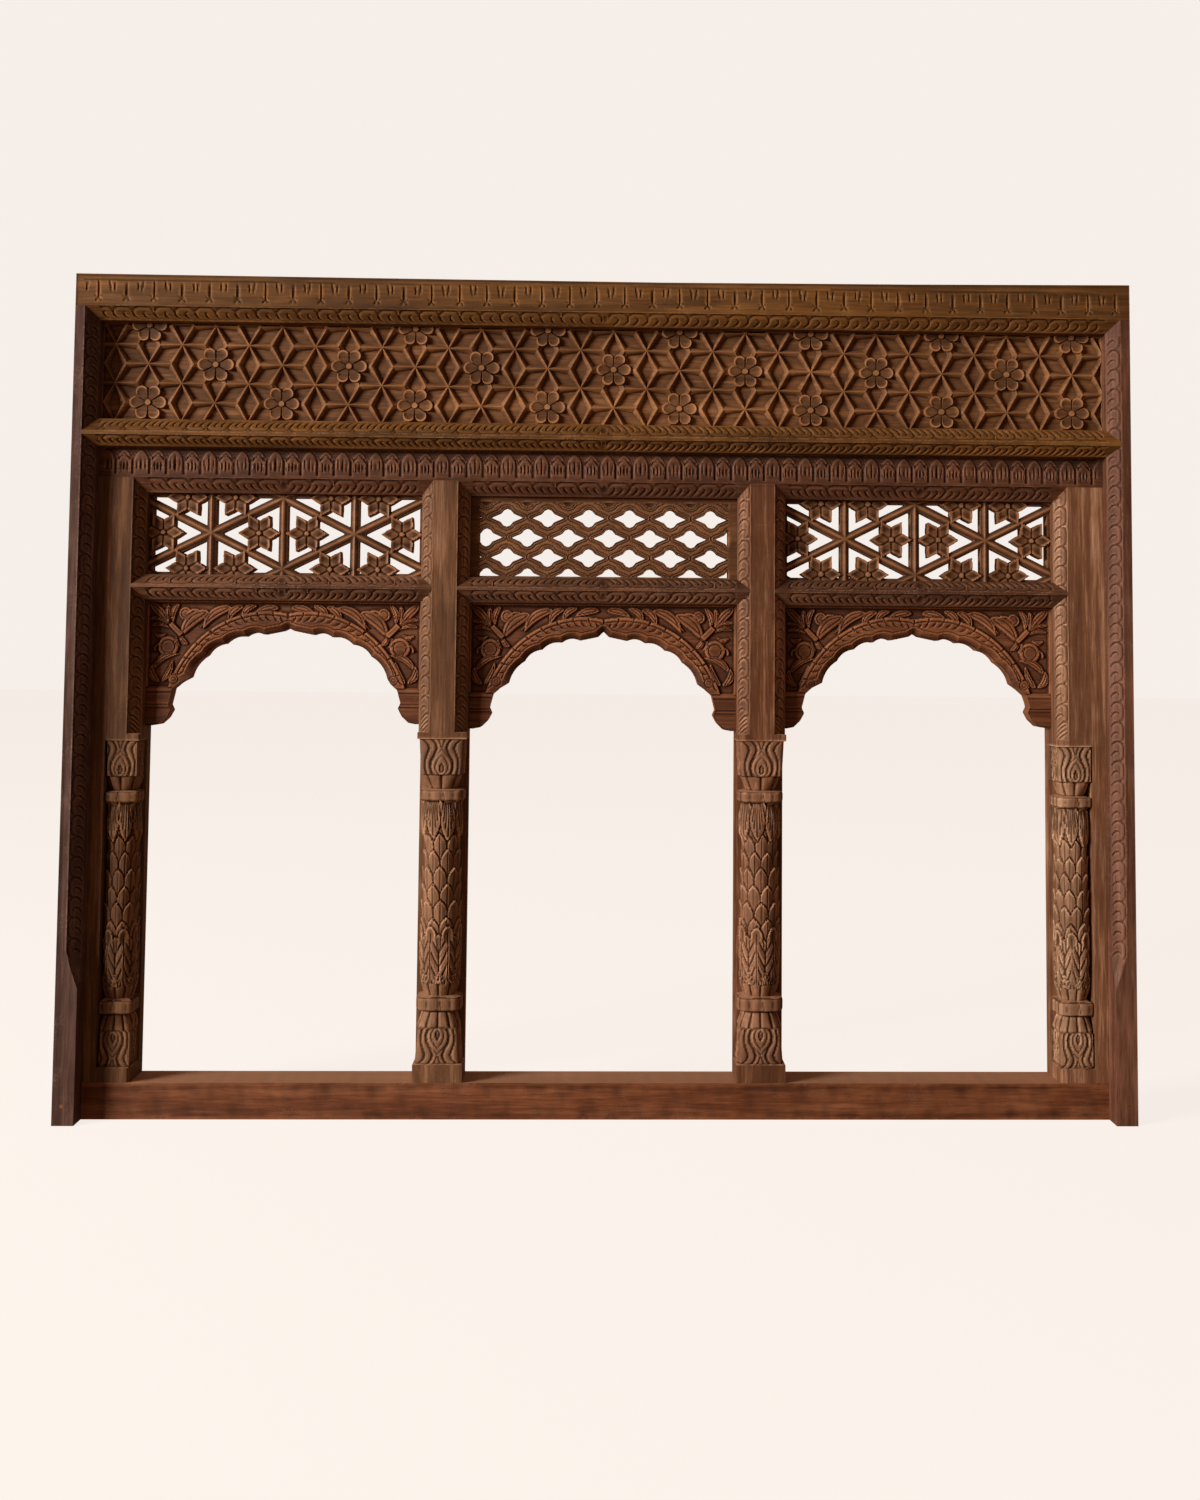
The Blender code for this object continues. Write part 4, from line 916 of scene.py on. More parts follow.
def clip(polygon, normal, offset):
    """Keep the part of a polygon where normal . p <= offset; corners carry their own reach."""
    kept = []
    for i, here in enumerate(polygon):
        after = polygon[(i + 1) % len(polygon)]
        d0, d1 = (normal[0] * p[0] + normal[1] * p[1] - offset for p in (here, after))
        if d0 <= 1e-9:
            kept.append(here)
        if (d0 < -1e-9 and d1 > 1e-9) or (d0 > 1e-9 and d1 < -1e-9):
            t = d0 / (d0 - d1)
            kept.append((here[0] + t * (after[0] - here[0]), here[1] + t * (after[1] - here[1]), CUT_REACH))
    return kept


def lozenges(box):
    """Lozenge cells of the star lattice, cut to a rectangle."""
    edge, half = LATTICE_X * 2 / 3, LATTICE_Z / 2
    third = edge / 2
    cells = ([(0, 0), (third, half), (0, 2 * half), (-third, half)],
             [(0, 0), (edge, 0), (edge + third, half), (third, half)],
             [(0, 0), (-third, half), (-edge - third, half), (-edge, 0)])
    sides = (((-1, 0), -box[0]), ((0, -1), -box[1]), ((1, 0), box[2]), ((0, 1), box[3]))
    for column in range(-18, 19):
        x = LATTICE_ORIGIN[0] + LATTICE_X * (column + 2)
        for row in range(-2, 4):
            z = LATTICE_ORIGIN[1] + LATTICE_Z * (row + (0.5 if column % 2 else 0.0))
            for cell in cells:
                polygon = [(x + a, z + b, RIB_REACH[i % 2]) for i, (a, b) in enumerate(cell)]
                for normal, offset in sides:
                    polygon = clip(polygon, normal, offset)
                if len(polygon) >= 3:
                    yield polygon


def sunk_cell(shell, cell, seed, flowers):
    """Half-roof ribs round a cell and its sunk floor, as closing rings of points."""
    corners = np.array([p[:2] for p in cell])
    middle = corners.mean(axis=0)
    away = middle - corners
    room = np.linalg.norm(away, axis=1)
    reach = np.minimum(np.array([p[2] for p in cell]), 0.6 * room)
    inward = away / room[:, None] * reach[:, None]
    outlines = [corners + inward * share for share, _ in RIB_PROFILE]
    outlines += [middle + (corners + inward - middle) * keep for keep in (0.45, 0.0)]
    t = np.linspace(0, 1, CELL_STEPS, endpoint=False)[None, :, None]
    rings = np.array([(a[:, None] * (1 - t) + np.roll(a, -1, axis=0)[:, None] * t).reshape(-1, 2)
                      for a in outlines])
    depths = [depth for _, depth in RIB_PROFILE] + 2 * [CELL_FLOOR]
    depths = np.array(depths)[:, None] * MM + 0 * rings[..., 0]
    rough = 0.35 * MM * uneven(rings[..., 0] * 3, rings[..., 1] * 3, seed)
    depths[1:] += rough[1:] + 0.35 * MM
    depths = np.maximum(depths, 0)
    for x, z in flowers:
        under = np.hypot(rings[..., 0] - x, rings[..., 1] - z) < 0.96 * ROSETTE_R
        depths = np.where(under, np.maximum(depths, 5.5 * MM), depths)
    points = np.stack([rings[..., 0], PANEL_FRONT + depths, rings[..., 1]], -1)
    # painted shade round the cell, darkest at the foot of the rib walls, and painted highlight on the rib
    # crests
    hollow = np.array(RIB_SHADE)[:, None] + 0 * depths
    shell.grid(points, hollow, 0.5 * ramp(1 - depths / (1.4 * MM)), wrap=True)


def rosette_places():
    """Centres of the six-petalled rosettes."""
    step = LATTICE_X * ROSETTE_EVERY
    x0, z0 = LATTICE_ORIGIN
    for i in range(8):
        x = x0 + step * (i - 3.5)
        yield x, z0
        if i != 1:
            yield x, z0 + 2 * LATTICE_Z
        if i < 7:
            yield x + step / 2, z0 + LATTICE_Z


def petal_place(turn):
    """Place across one of six petals, 0 on its middle line and 1 at its crease."""
    return np.abs(((turn / (math.pi / 3) + 0.5) % 1.0) - 0.5) * 2


def rosette(shell, x, z, box, seed):
    """Six dished petals with thin raised rims round a domed boss."""
    turn = np.linspace(0, 2 * math.pi, 60, endpoint=False)[None, :]
    petal = petal_place(turn)
    edge = ROSETTE_R * (1 - 0.03 * chance(seed)) * (0.54 + 0.46 * ramp(1 - petal ** 1.9) ** 0.62)
    shares, depth = (np.array(row)[:, None] for row in zip(*ROSETTE_RINGS))
    out = np.where(shares < 0.18, ROSETTE_R * shares, np.maximum(shares * edge, ROSETTE_R * 0.19))
    depth = depth * MM + 0 * turn
    ray = (1 - petal) * math.pi / 6 * out
    depth = np.maximum(depth, 5.4 * MM * ramp(1 - ray / (2.0 * MM)) * (shares > 0.18))
    depth[-1] = PANEL_FLOOR
    px, pz = np.clip(x + out * np.cos(turn), box[0], box[2]), np.clip(z + out * np.sin(turn), box[1], box[3])
    points = np.stack([px, PANEL_FRONT + depth, pz], -1)
    # painted shade: the deeper a point, the darker; painted highlight on the petal rims and the boss
    dark = ramp(depth, 3.2 * MM) ** 1.6 * 0.8
    light = seam(depth, 0.7 * MM)
    dark[:3], light[:3] = 0.0, 0.6
    shell.grid(points, dark, light, wrap=True)
    # the floor cap behind the rosette is painted dark as shade
    shell.add(points[-1], [list(range(points.shape[1]))], 0.8)


def star_panel(material):
    """Sunk-lozenge panel with rosettes over its crossings."""
    edge = JAMB_INNER - GAP
    box = (-edge, TRANSOM[3] + GAP, edge, HEAD_SOFFIT - GAP)
    places = list(rosette_places())
    shell = Shell()
    for i, cell in enumerate(lozenges(box)):
        middle = np.mean([corner[:2] for corner in cell], axis=0)
        beside = [(x, z) for x, z in places if math.hypot(x - middle[0], z - middle[1]) < 2 * ROSETTE_R]
        sunk_cell(shell, cell, i * 0.37, beside)
    flowers = Shell()
    for i, (x, z) in enumerate(places):
        rosette(flowers, x, z, box, i)
    shell.make("star_panel", material, back=PANEL_BACK, crease=28)
    flowers.make("rosettes", material, "star_panel", weld=0.00001)


# ---- pierced boards ------------------------------------------------------
def outline_gap(x, z, outline):
    """Distance from a closed outline, negative inside it."""
    inside = np.zeros(x.shape, bool)
    best = np.full(x.shape, 1.0)
    for (ax, az), (bx, bz) in zip(outline, outline[1:] + outline[:1]):
        ex, ez = bx - ax, bz - az
        t = ramp((x - ax) * ex + (z - az) * ez, ex * ex + ez * ez)
        best = np.minimum(best, np.hypot(x - ax - t * ex, z - az - t * ez))
        if abs(ez) > 1e-9:
            inside ^= ((az > z) != (bz > z)) & (x < ax + (z - az) * ex / ez)
    return np.where(inside, -best, best)


def trimmed(solid, clear, x, z):
    """Faces over the solid part of a grid, and the points where its cells cross the outline."""
    rows, columns = solid.shape
    corners = [(0, 0), (0, 1), (1, 1), (1, 0)]
    count = sum(solid[a:rows - 1 + a, b:columns - 1 + b].astype(int) for a, b in corners)
    index = np.arange(rows * columns).reshape(rows, columns)
    faces = [[index[i + a, j + b] for a, b in corners] for i, j in np.argwhere(count == 4)]
    extra = []
    for i, j in np.argwhere((count > 0) & (count < 4)):
        face = []
        for k, (a, b) in enumerate(corners):
            c, d = corners[(k + 1) % 4]
            here, after = (i + a, j + b), (i + c, j + d)
            if solid[here]:
                face.append(index[here])
            if solid[here] != solid[after]:
                t = np.clip(clear[here] / (clear[here] - clear[after]), 0.02, 0.98)
                extra.append([x[here] + t * (x[after] - x[here]), z[here] + t * (z[after] - z[here])])
                face.append(rows * columns + len(extra) - 1)
        faces.append(face)
    return faces, np.array(extra).reshape(-1, 2)


def pierced_board(name, node, material, box, gap, depth, faces_y, size, crease):
    """Carved board over a rectangle, cut away where gap(x, z) is negative."""
    columns, rows = (max(2, round((box[i + 2] - box[i]) / size) + 1) for i in (0, 1))
    x, z = np.meshgrid(np.linspace(box[0], box[2], columns), np.linspace(box[1], box[3], rows))
    clear, deep = gap(x, z), depth(x, z)
    clear = np.where(np.abs(clear) < 0.15 * MM, 0.15 * MM, clear)     # leaves no slivers at the outline
    faces, extra = trimmed(clear > 0, clear, x, z)
    y = faces_y[0] + np.append(deep, depth(extra[:, 0], extra[:, 1]))
    points = np.stack([np.append(x, extra[:, 0]), y, np.append(z, extra[:, 1])], -1)
    # painted shade with grime in the hollows and painted highlight with wear on the crests; cut edges get a
    # little of each
    hollow, wear_and_highlight = tones(-deep, 8)
    dark = np.append(hollow, np.full(len(extra), 0.1))
    light = np.append(wear_and_highlight, np.full(len(extra), 0.5))
    used = np.unique([i for face in faces for i in face])
    place = np.full(len(points), -1)
    place[used] = np.arange(len(used))
    shell = Shell()
    shell.add(points[used], [place[face].tolist() for face in faces], dark[used], light[used])
    shell.make(name, material, node, faces_y[1], gap, crease=crease)


SCREEN_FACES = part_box("screen_left")[0].y + 0.001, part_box("screen_left")[1].y    # front and back
SCREEN_MID = 1.0390                           # height of the screens' middle line
STAR_BAR = 0.0078                             # half width of a bar
STAR_DX, STAR_DZ = 0.1300, 0.0650             # spacing of upright bars, half the spacing of slanting ones
STAR_R, STAR_NOTCH = 0.0385, 0.0225           # radius of a star at its tips and between its petals
STAR_CENTRE = {-1: -0.5870, 1: 0.5720}        # an upright bar of each side's screen
WAVE_DX, WAVE_DZ, WAVE_X0 = 0.0750, 0.0365, 0.008        # spacing of openings and rows, first opening
WAVE_MARGIN = 0.0155                          # plain strip at either end of the middle screen
# a quarter of an opening's outline, from its point to its top
WAVE_LOBES = [(0.0310, 0.0), (0.0115, 0.0085), (0.0062, 0.0150), (0.0, 0.0175)]


def screen_box(bay):
    """Rectangle a screen fills in its bay."""
    left, right = bay_edges(bay)[:2]
    return left + GAP, CROSS[3] + GAP, right - GAP, FRIEZE_SOFFIT - GAP


def bar_distance(x, z, centre):
    """Distance from the middle line of the nearest bar of a star screen."""
    slope = STAR_DZ / STAR_DX
    lean = math.cos(math.atan(slope))
    best = np.abs((x - centre) / STAR_DX - np.round((x - centre) / STAR_DX)) * STAR_DX
    for side in (-1, 1):
        lift = (z - SCREEN_MID - STAR_DZ - side * slope * (x - centre)) / (2 * STAR_DZ)
        best = np.minimum(best, np.abs(lift - np.round(lift)) * 2 * STAR_DZ * lean)
    return best


def star_places(centre):
    """Middles of the six-pointed stars in a star screen."""
    for column in (-2, -1, 0, 1):
        near, far = (1 / 3, 2 / 3) if column % 2 == 0 else (2 / 3, 1 / 3)
        yield centre + STAR_DX * (column + near), SCREEN_MID
        for rise in (-STAR_DZ, STAR_DZ):
            yield centre + STAR_DX * (column + far), SCREEN_MID + rise


def star_outline(x, z):
    """Outline of six broad pointed petals."""
    points = []
    for i in range(48):
        petal = abs((i / 8 + 0.5) % 1.0 - 0.5) * 2        # 0 on a petal's middle line, 1 between petals
        reach = STAR_R - (STAR_R - STAR_NOTCH) * petal ** 0.66
        points.append((x + reach * math.cos(math.pi / 24 * i), z + reach * math.sin(math.pi / 24 * i)))
    return points


def star_screen(bay, place, material):
    """Crossed roof-shaped bars with six-petalled stars between them."""
    box = screen_box(bay)
    centre = STAR_CENTRE[bay]
    stars = [(x, z) for x, z in star_places(centre)
             if box[0] - STAR_R < x < box[2] + STAR_R]

    def star_gap(x, z):
        return np.minimum.reduce([outline_gap(x, z, star_outline(*place)) for place in stars])

    def border(x, z):
        return np.minimum(np.minimum(x - box[0], box[2] - x), np.minimum(z - box[1], box[3] - z))

    def gap(x, z):
        bars = STAR_BAR - bar_distance(x, z, centre)
        return np.maximum.reduce([bars, -star_gap(x, z), 5 * MM - border(x, z)])

    def depth(x, z):
        bars = 0.62 * bar_distance(x, z, centre) + 0.3 * MM
        deep = np.minimum(np.clip(bars, 0, 6 * MM), 4.6 * MM)
        for i, (sx, sz) in enumerate(stars):
            away, turn = np.hypot(x - sx, z - sz), np.arctan2(z - sz, x - sx)
            inside = -outline_gap(x, z, star_outline(sx, sz))
            face = 0.2 * MM + 2.4 * MM * ramp(inside - 1.4 * MM, 5.0 * MM)
            ray = (1 - petal_place(turn)) * away * math.pi / 6
            crease = 3.2 * MM * ramp(1 - ray / (2.0 * MM)) * (away < STAR_NOTCH + MM)
            boss = ramp(1 - (away / (4.6 * MM)) ** 2)
            moat = 1.6 * MM * seam(away - 5.6 * MM, 1.6 * MM)
            top = np.where(boss > 0, 0.6 * MM - 0.5 * MM * boss, face + np.maximum(crease, moat))
            deep = np.where(inside > 0, top, deep)
        return deep + 0.3 * MM * (1 + uneven(x * 2, z * 2, 50 + bay))

    name = "screen_" + place
    pierced_board(name, name, material, box, gap, depth, SCREEN_FACES, 1.93 * MM, 38)


def wave_opening(x, z):
    """Lobed lozenge, pointed left and right."""
    top = WAVE_LOBES + [(-a, b) for a, b in reversed(WAVE_LOBES[:-1])]
    bottom = [(-a, -b) for a, b in WAVE_LOBES[1:]] + [(a, -b) for a, b in reversed(WAVE_LOBES[1:-1])]
    return [(x + a, z + b) for a, b in top + bottom]


def wave_screen(material):
    """Middle screen: wavy ridged ribs between staggered lobed openings."""
    box = screen_box(0)

    def cell_gap(x, z, rows):
        best = np.full(x.shape, 1.0)
        for row in rows:
            shift = WAVE_X0 + WAVE_DX * (0.5 if row % 2 else 0.0)
            local = x - shift - WAVE_DX * np.round((x - shift) / WAVE_DX)
            level = SCREEN_MID - 0.0025 + WAVE_DZ * row
            best = np.minimum(best, outline_gap(local, z - level, wave_opening(0, 0)))
        return best

    def inside(x, z):
        return np.minimum(np.minimum(x - box[0] - WAVE_MARGIN, box[2] - WAVE_MARGIN - x),
                          np.minimum(z - box[1] - 0.003, box[3] - 0.010 - z))

    def gap(x, z):
        return np.maximum(cell_gap(x, z, range(-2, 2)), -inside(x, z))

    def depth(x, z):
        away = cell_gap(x, z, range(-3, 4))
        waves = 2.4 * MM * (1 - np.cos(2 * math.pi * np.clip(away, 0, 9 * MM) / (4.2 * MM))) / 2
        cup = np.where(away < -0.02 * MM, 1.5 * MM + 2.6 * MM * ramp(-away, 6 * MM), 0)
        border = ramp(-inside(x, z), 1.5 * MM)
        plain = 0.8 * MM
        return (waves + cup) * (1 - border) + plain * border + 0.3 * MM * (1 + uneven(x * 2, z * 2, 53))

    name = "screen_middle"
    pierced_board(name, name, material, box, gap, depth, SCREEN_FACES, 1.97 * MM, 38)


# ---- arch boards ---------------------------------------------------------
ARCH_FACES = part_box("arch_board_left")[0].y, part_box("arch_board_left")[1].y
ARCH_RADIUS = 0.140                           # the band turns about a centre this far under the arch's level
BAND_RADIUS, BAND_SPREAD = 0.160, 0.00066     # outside of the band, and how much it widens with each degree
# each bay's arch as (middle, level, dip of its apex), and its halves as (stretch, bracket's stretch, foot)
ARCH_AT = {-1: (-0.5750, 0.8715, 0.0045), 0: (0.0, 0.8655, 0.0), 1: (0.5715, 0.8705, 0.0035)}
ARCH_HALVES = {-1: ((1.020, 1.028, 0.6885), (1.045, 0.990, 0.6940)),
               0: ((1.000, 1.000, 0.6870), (1.000, 0.988, 0.6855)),
               1: ((0.980, 1.000, 0.6910), (1.040, 1.026, 0.6950))}
# outlines as (sideways from the middle, down from the level), the bracket's as height over its foot
CUSPS = [(0.0433, 0.0168), (0.0765, 0.0208), (0.1127, 0.0340), (0.1447, 0.0555), (0.1735, 0.0955)]
SHOULDER = [(0.1890, 0.1050), (0.2015, 0.1160)]
BRACKET = [(0.2060, 0.0460), (0.2080, 0.0380), (0.2035, 0.0280), (0.2110, 0.0140), (0.2230, 0.0025)]
BRACKET_SIDE = 0.236
FOIL_RISE = 0.0052
ARCH_BEVEL, ARCH_SLOPE = 0.0115, 0.0100       # bevel round the opening: its width and depth
ARCH_BAND = 21.6 * MM                         # the band ends here, at a groove
BRACKET_DROP = 0.113                          # brackets start this far under the arch's level
FIELD_DEPTH = 4.6 * MM                        # ground of the corner fields
# leaves of a corner field as (start, end, width, bow), in millimetres in from the post and down
LEAVES = [
    ((40, 44), (4, 5), 17, 2), ((43, 47), (4, 33), 9, 5), ((42, 52), (6, 46), 9, 5),
    ((34, 60), (12, 62), 9, -5), ((38, 40), (37, 8), 10, -2), ((47, 42), (56, 6), 12, -6),
    ((60, 66), (110, 20), 24, -9), ((100, 52), (152, 12), 19, -10), ((146, 40), (172, 10), 15, -8),
    ((170, 34), (196, 8), 14, -7), ((192, 24), (236, 12), 15, -4), ((60, 62), (72, 80), 11, 3),
    ((52, 66), (58, 84), 9, 3), ((58, 98), (12, 122), 13, 8), ((10, 116), (22, 148), 14, 7),
    ((46, 108), (28, 148), 12, -4),
]
# round forms as (middle, radius)
DISCS = [((68, 24), 12), ((38, 84), 19)]
# scrolls as (middle, radius, thickness, first and last turn in degrees)
SCROLLS = [((86, 34), 17, 6, -60, 150), ((22, 88), 8, 5, -60, 210)]


def foil(a, b, rise, steps=7):
    """Points between two cusps on a scallop that bows up and outwards."""
    (ax, az), (bx, bz) = a, b
    length = math.hypot(bx - ax, bz - az)
    points = []
    for i in range(1, steps):
        t = i / steps
        lift = rise * 4 * t * (1 - t) / length
        points.append((ax + (bx - ax) * t + (bz - az) * lift, az + (bz - az) * t - (bx - ax) * lift))
    return points


def half_arch(level, dip, half):
    """Opening's edge from its apex to a bracket's foot, as (sideways, height)."""
    stretch, bracket_stretch, foot = half
    edge = [(0.0, dip), (0.010, 0.0098), (0.025, 0.0130), CUSPS[0]]
    for a, b in zip(CUSPS, CUSPS[1:]):
        edge += foil(a, b, FOIL_RISE) + [b]
    points = [(a * stretch, level - b) for a, b in edge]
    points += [(a * bracket_stretch, level - b) for a, b in SHOULDER]
    points += [(a * bracket_stretch, foot + b) for a, b in BRACKET]
    return points + [(BRACKET_SIDE * bracket_stretch, foot), (BRACKET_SIDE * bracket_stretch + 0.02, foot)]


def leaf(p, q, start, end, width, bow):
    """Raised share of one leaf and the cut that follows its outline."""
    start, end = [c * MM for c in start], [c * MM for c in end]
    body = gouge(p, q, start, end, width * MM, bow * MM, belly=0.6, blunt=0.45)
    line = vee(body - 0.30 * width * MM, 1.2 * MM)
    return ramp(body, 1.5 * MM) * (0.72 + 0.28 * ramp(body, 0.4 * width * MM)), line


def field_relief(p, q):
    """Depth of the foliage in a corner, p in from the post and q down from the rail."""
    rise, cut = np.zeros_like(p), np.zeros_like(p)
    for middle, radius in DISCS:
        away = np.hypot(p - middle[0] * MM, q - middle[1] * MM)
        rise = np.maximum(rise, 0.85 * ramp(radius * MM - away, 1.5 * MM))
        cut = np.maximum(cut, vee(away - 0.62 * radius * MM, 1.2 * MM))
    for middle, radius, thick, low, high in SCROLLS:
        dp, dq = p - middle[0] * MM, q - middle[1] * MM
        turn = np.degrees(np.arctan2(-dq, dp))
        turn = np.where(turn < low, turn + 360, turn)
        share = ramp(turn - low, high - low)
        wide = thick / 2 * MM * (0.45 + 0.55 * share)
        band = ramp(wide - np.abs(np.hypot(dp, dq) - radius * MM), 1.4 * MM) * (turn < high)
        rise = np.maximum(rise, band)
        cut = np.where(band > 0.5, 0, cut)
    for start, end, width, bow in LEAVES:
        body, line = leaf(p, q, start, end, width, bow)
        over = body > 0.25
        rise = np.where(over, np.maximum(body, 0.9 * rise), np.maximum(rise, body))
        cut = np.where(over, line, cut)
        cut = np.maximum(cut, 1.3 * MM * seam(body - 0.12, 0.12))
    depth = FIELD_DEPTH * (1 - rise) + 2.2 * cut + 0.3 * MM
    across, along = (p + q) / math.sqrt(2) - 73.5 * MM, (p - q) / math.sqrt(2) + 1.5 * MM
    tie = np.maximum(np.abs(along) / (4.2 * MM), np.abs(across) / (13 * MM))
    depth = depth + 2.4 * MM * seam(tie - 1.2, 0.3)
    return np.where(tie < 1.1, 0.2 * MM, depth)


def arch_band(s, v, clear, seed):
    """Cuts of the band: long pads outside, a pair of crescents under each, a line over the bevel."""
    pitch = 26.5 * MM
    unit = np.floor(s / pitch)
    local = s - unit * pitch + 0.8 * MM * chance(unit, seed)
    between = np.minimum(np.abs(local), np.abs(pitch - local))
    cut = 2.0 * np.clip(1.5 * MM - between, 0, None) * (v > 13.5 * MM)
    cut = np.maximum(cut, 1.7 * vee(v - 15.6 * MM + 1.4 * MM * (between < 2 * MM), 1.5 * MM))
    for top in (0.52, 1.0):
        start, end = ((top - 0.36) * pitch, 4 * MM), (top * pitch, 14.5 * MM)
        outer = gouge(local, v, start, end, 3.8 * MM, bow=-2.8 * MM, belly=0.6, blunt=0.35)
        start, end = ((top - 0.30) * pitch, 8 * MM), ((top - 0.10) * pitch, 14 * MM)
        inner = gouge(local, v, start, end, 2.6 * MM, bow=-1.2 * MM)
        cut = np.maximum.reduce([cut, 1.5 * outer, 1.3 * inner])
    return 1.3 * np.maximum(cut, 1.4 * vee(clear - ARCH_BEVEL - 1.8 * MM, 1.4 * MM))


def bracket_relief(z, foot, top):
    """Ridges and a bulb on the tongue that stands against a post."""
    height = (z - foot) / (top - foot)
    ridges = sum(seam(height - level, 0.035) for level in (0.98, 0.86, 0.54, 0.47))
    bulb = 1.2 * MM * ramp(np.abs(height - 0.24), 0.22) ** 2
    return 2.0 * MM * ramp(ridges) + bulb * (height < 0.46) + 0.4 * MM


def curl_relief(p, q):
    """Depth of the small scroll over a bracket, and where it lies."""
    away = np.hypot(p - 49 * MM, q - 143 * MM)
    depth = np.maximum(1.8 * MM * seam(away - 8 * MM, 1.3 * MM), 1.5 * MM * seam(away - 3.5 * MM, MM))
    return depth + 0.3 * MM, away < 9.5 * MM


def arch_board(bay, place, material):
    """Cusped arch: a twisted band round its opening and foliage in its corners."""
    left, right = bay_edges(bay)[:2]
    centre, level, dip = ARCH_AT[bay]
    top = CROSS[0] - GAP
    feet = [half[2] for half in ARCH_HALVES[bay]]
    box = (left + GAP, min(feet), right - GAP, top)
    halves = [half_arch(level, dip, half) for half in ARCH_HALVES[bay]]
    opening = [(centre + a, b) for a, b in halves[1]] + [(centre + 0.27, 0.60), (centre - 0.27, 0.60)]
    opening += [(centre - a, b) for a, b in reversed(halves[0][1:])]

    def gap(x, z):
        return outline_gap(x, z, opening)

    def depth(x, z):
        clear = np.clip(gap(x, z), 0, None)
        on_right = x >= centre
        across, rise = np.abs(x - centre), z - level + ARCH_RADIUS
        turn, radius = np.degrees(np.arctan2(across, rise)), np.hypot(across, rise)
        v = 21 * MM + radius - (BAND_RADIUS + BAND_SPREAD * np.clip(turn, 0, 90))
        p, q = np.where(on_right, right - GAP - x, x - left - GAP), top - z
        bevel = ARCH_SLOPE * ramp(1 - clear / ARCH_BEVEL) * ramp(z - level + 0.116, 0.055)
        band = arch_band(np.radians(turn) * BAND_RADIUS, v, clear, 60 + bay)
        band = band * ramp(clear - ARCH_BEVEL, 0.8 * MM) * (turn < 81)
        groove = 2.6 * MM * seam(v - ARCH_BAND, 1.8 * MM) * (turn < 84)
        sunk = ramp(v - ARCH_BAND, 1.0 * MM) * ramp(q - 3 * MM, MM)
        sunk = sunk * ramp(p - 2.5 * MM, MM) * ramp(z - level + BRACKET_DROP, MM)
        bracket = bracket_relief(z, np.where(on_right, feet[1], feet[0]), level - BRACKET_DROP)
        curl, curled = curl_relief(p, q)
        carved = np.maximum(np.where(v > ARCH_BAND, field_relief(p, q) * sunk, band), groove * sunk)
        carved = np.where(z < level - BRACKET_DROP, bracket, carved)
        carved = np.where(curled, curl, carved)
        return carved * (clear > 0) + bevel + 0.25 * MM * (1 + uneven(x * 2, z * 2, 70 + bay))

    pierced_board("arch_" + place, "arch_board_" + place, material, box, gap, depth,
                  ARCH_FACES, 1.5 * MM, 50)


# ---- timber ---------------------------------------------------------------
class Graph:
    """Short way to write a material's nodes."""

    def __init__(self, name):
        self.material = bpy.data.materials.new(name)
        self.material.use_nodes = True
        self.tree = self.material.node_tree
        self.shader = self.tree.nodes["Principled BSDF"]

    def feed(self, socket, value):
        if isinstance(value, bpy.types.NodeSocket):
            self.tree.links.new(value, socket)
        else:
            socket.default_value = value

    def paint(self, values):
        for key, value in values.items():
            self.feed(self.shader.inputs[key], value)

    def add(self, kind, values=(), **settings):
        node = self.tree.nodes.new("ShaderNode" + kind)
        for key, value in settings.items():
            setattr(node, key, value)
        for key, value in dict(values).items():
            self.feed(node.inputs[key], value)
        return node

    def math(self, operation, a, b=0.0, clamp=False):
        return self.add("Math", {0: a, 1: b}, operation=operation, use_clamp=clamp).outputs[0]

    def mix(self, share, a, b, blend="MIX"):
        node = self.add("Mix", data_type="RGBA", blend_type=blend)
        for socket, value in ((node.inputs[0], share), (node.inputs[6], a), (node.inputs[7], b)):
            self.feed(socket, (*value, 1.0) if isinstance(value, list) else value)
        return node.outputs[2]

    def noise(self, vector, scale, detail=4.0, rough=0.55, twist=0.0):
        values = {"Vector": vector, "Scale": scale, "Detail": detail, "Roughness": rough, "Distortion": twist}
        return self.add("TexNoise", values).outputs["Fac"]

    def spread(self, value, low, high, new_low=0.0, new_high=1.0):
        values = {"Value": value, "From Min": low, "From Max": high, "To Min": new_low, "To Max": new_high}
        return self.add("MapRange", values).outputs["Result"]


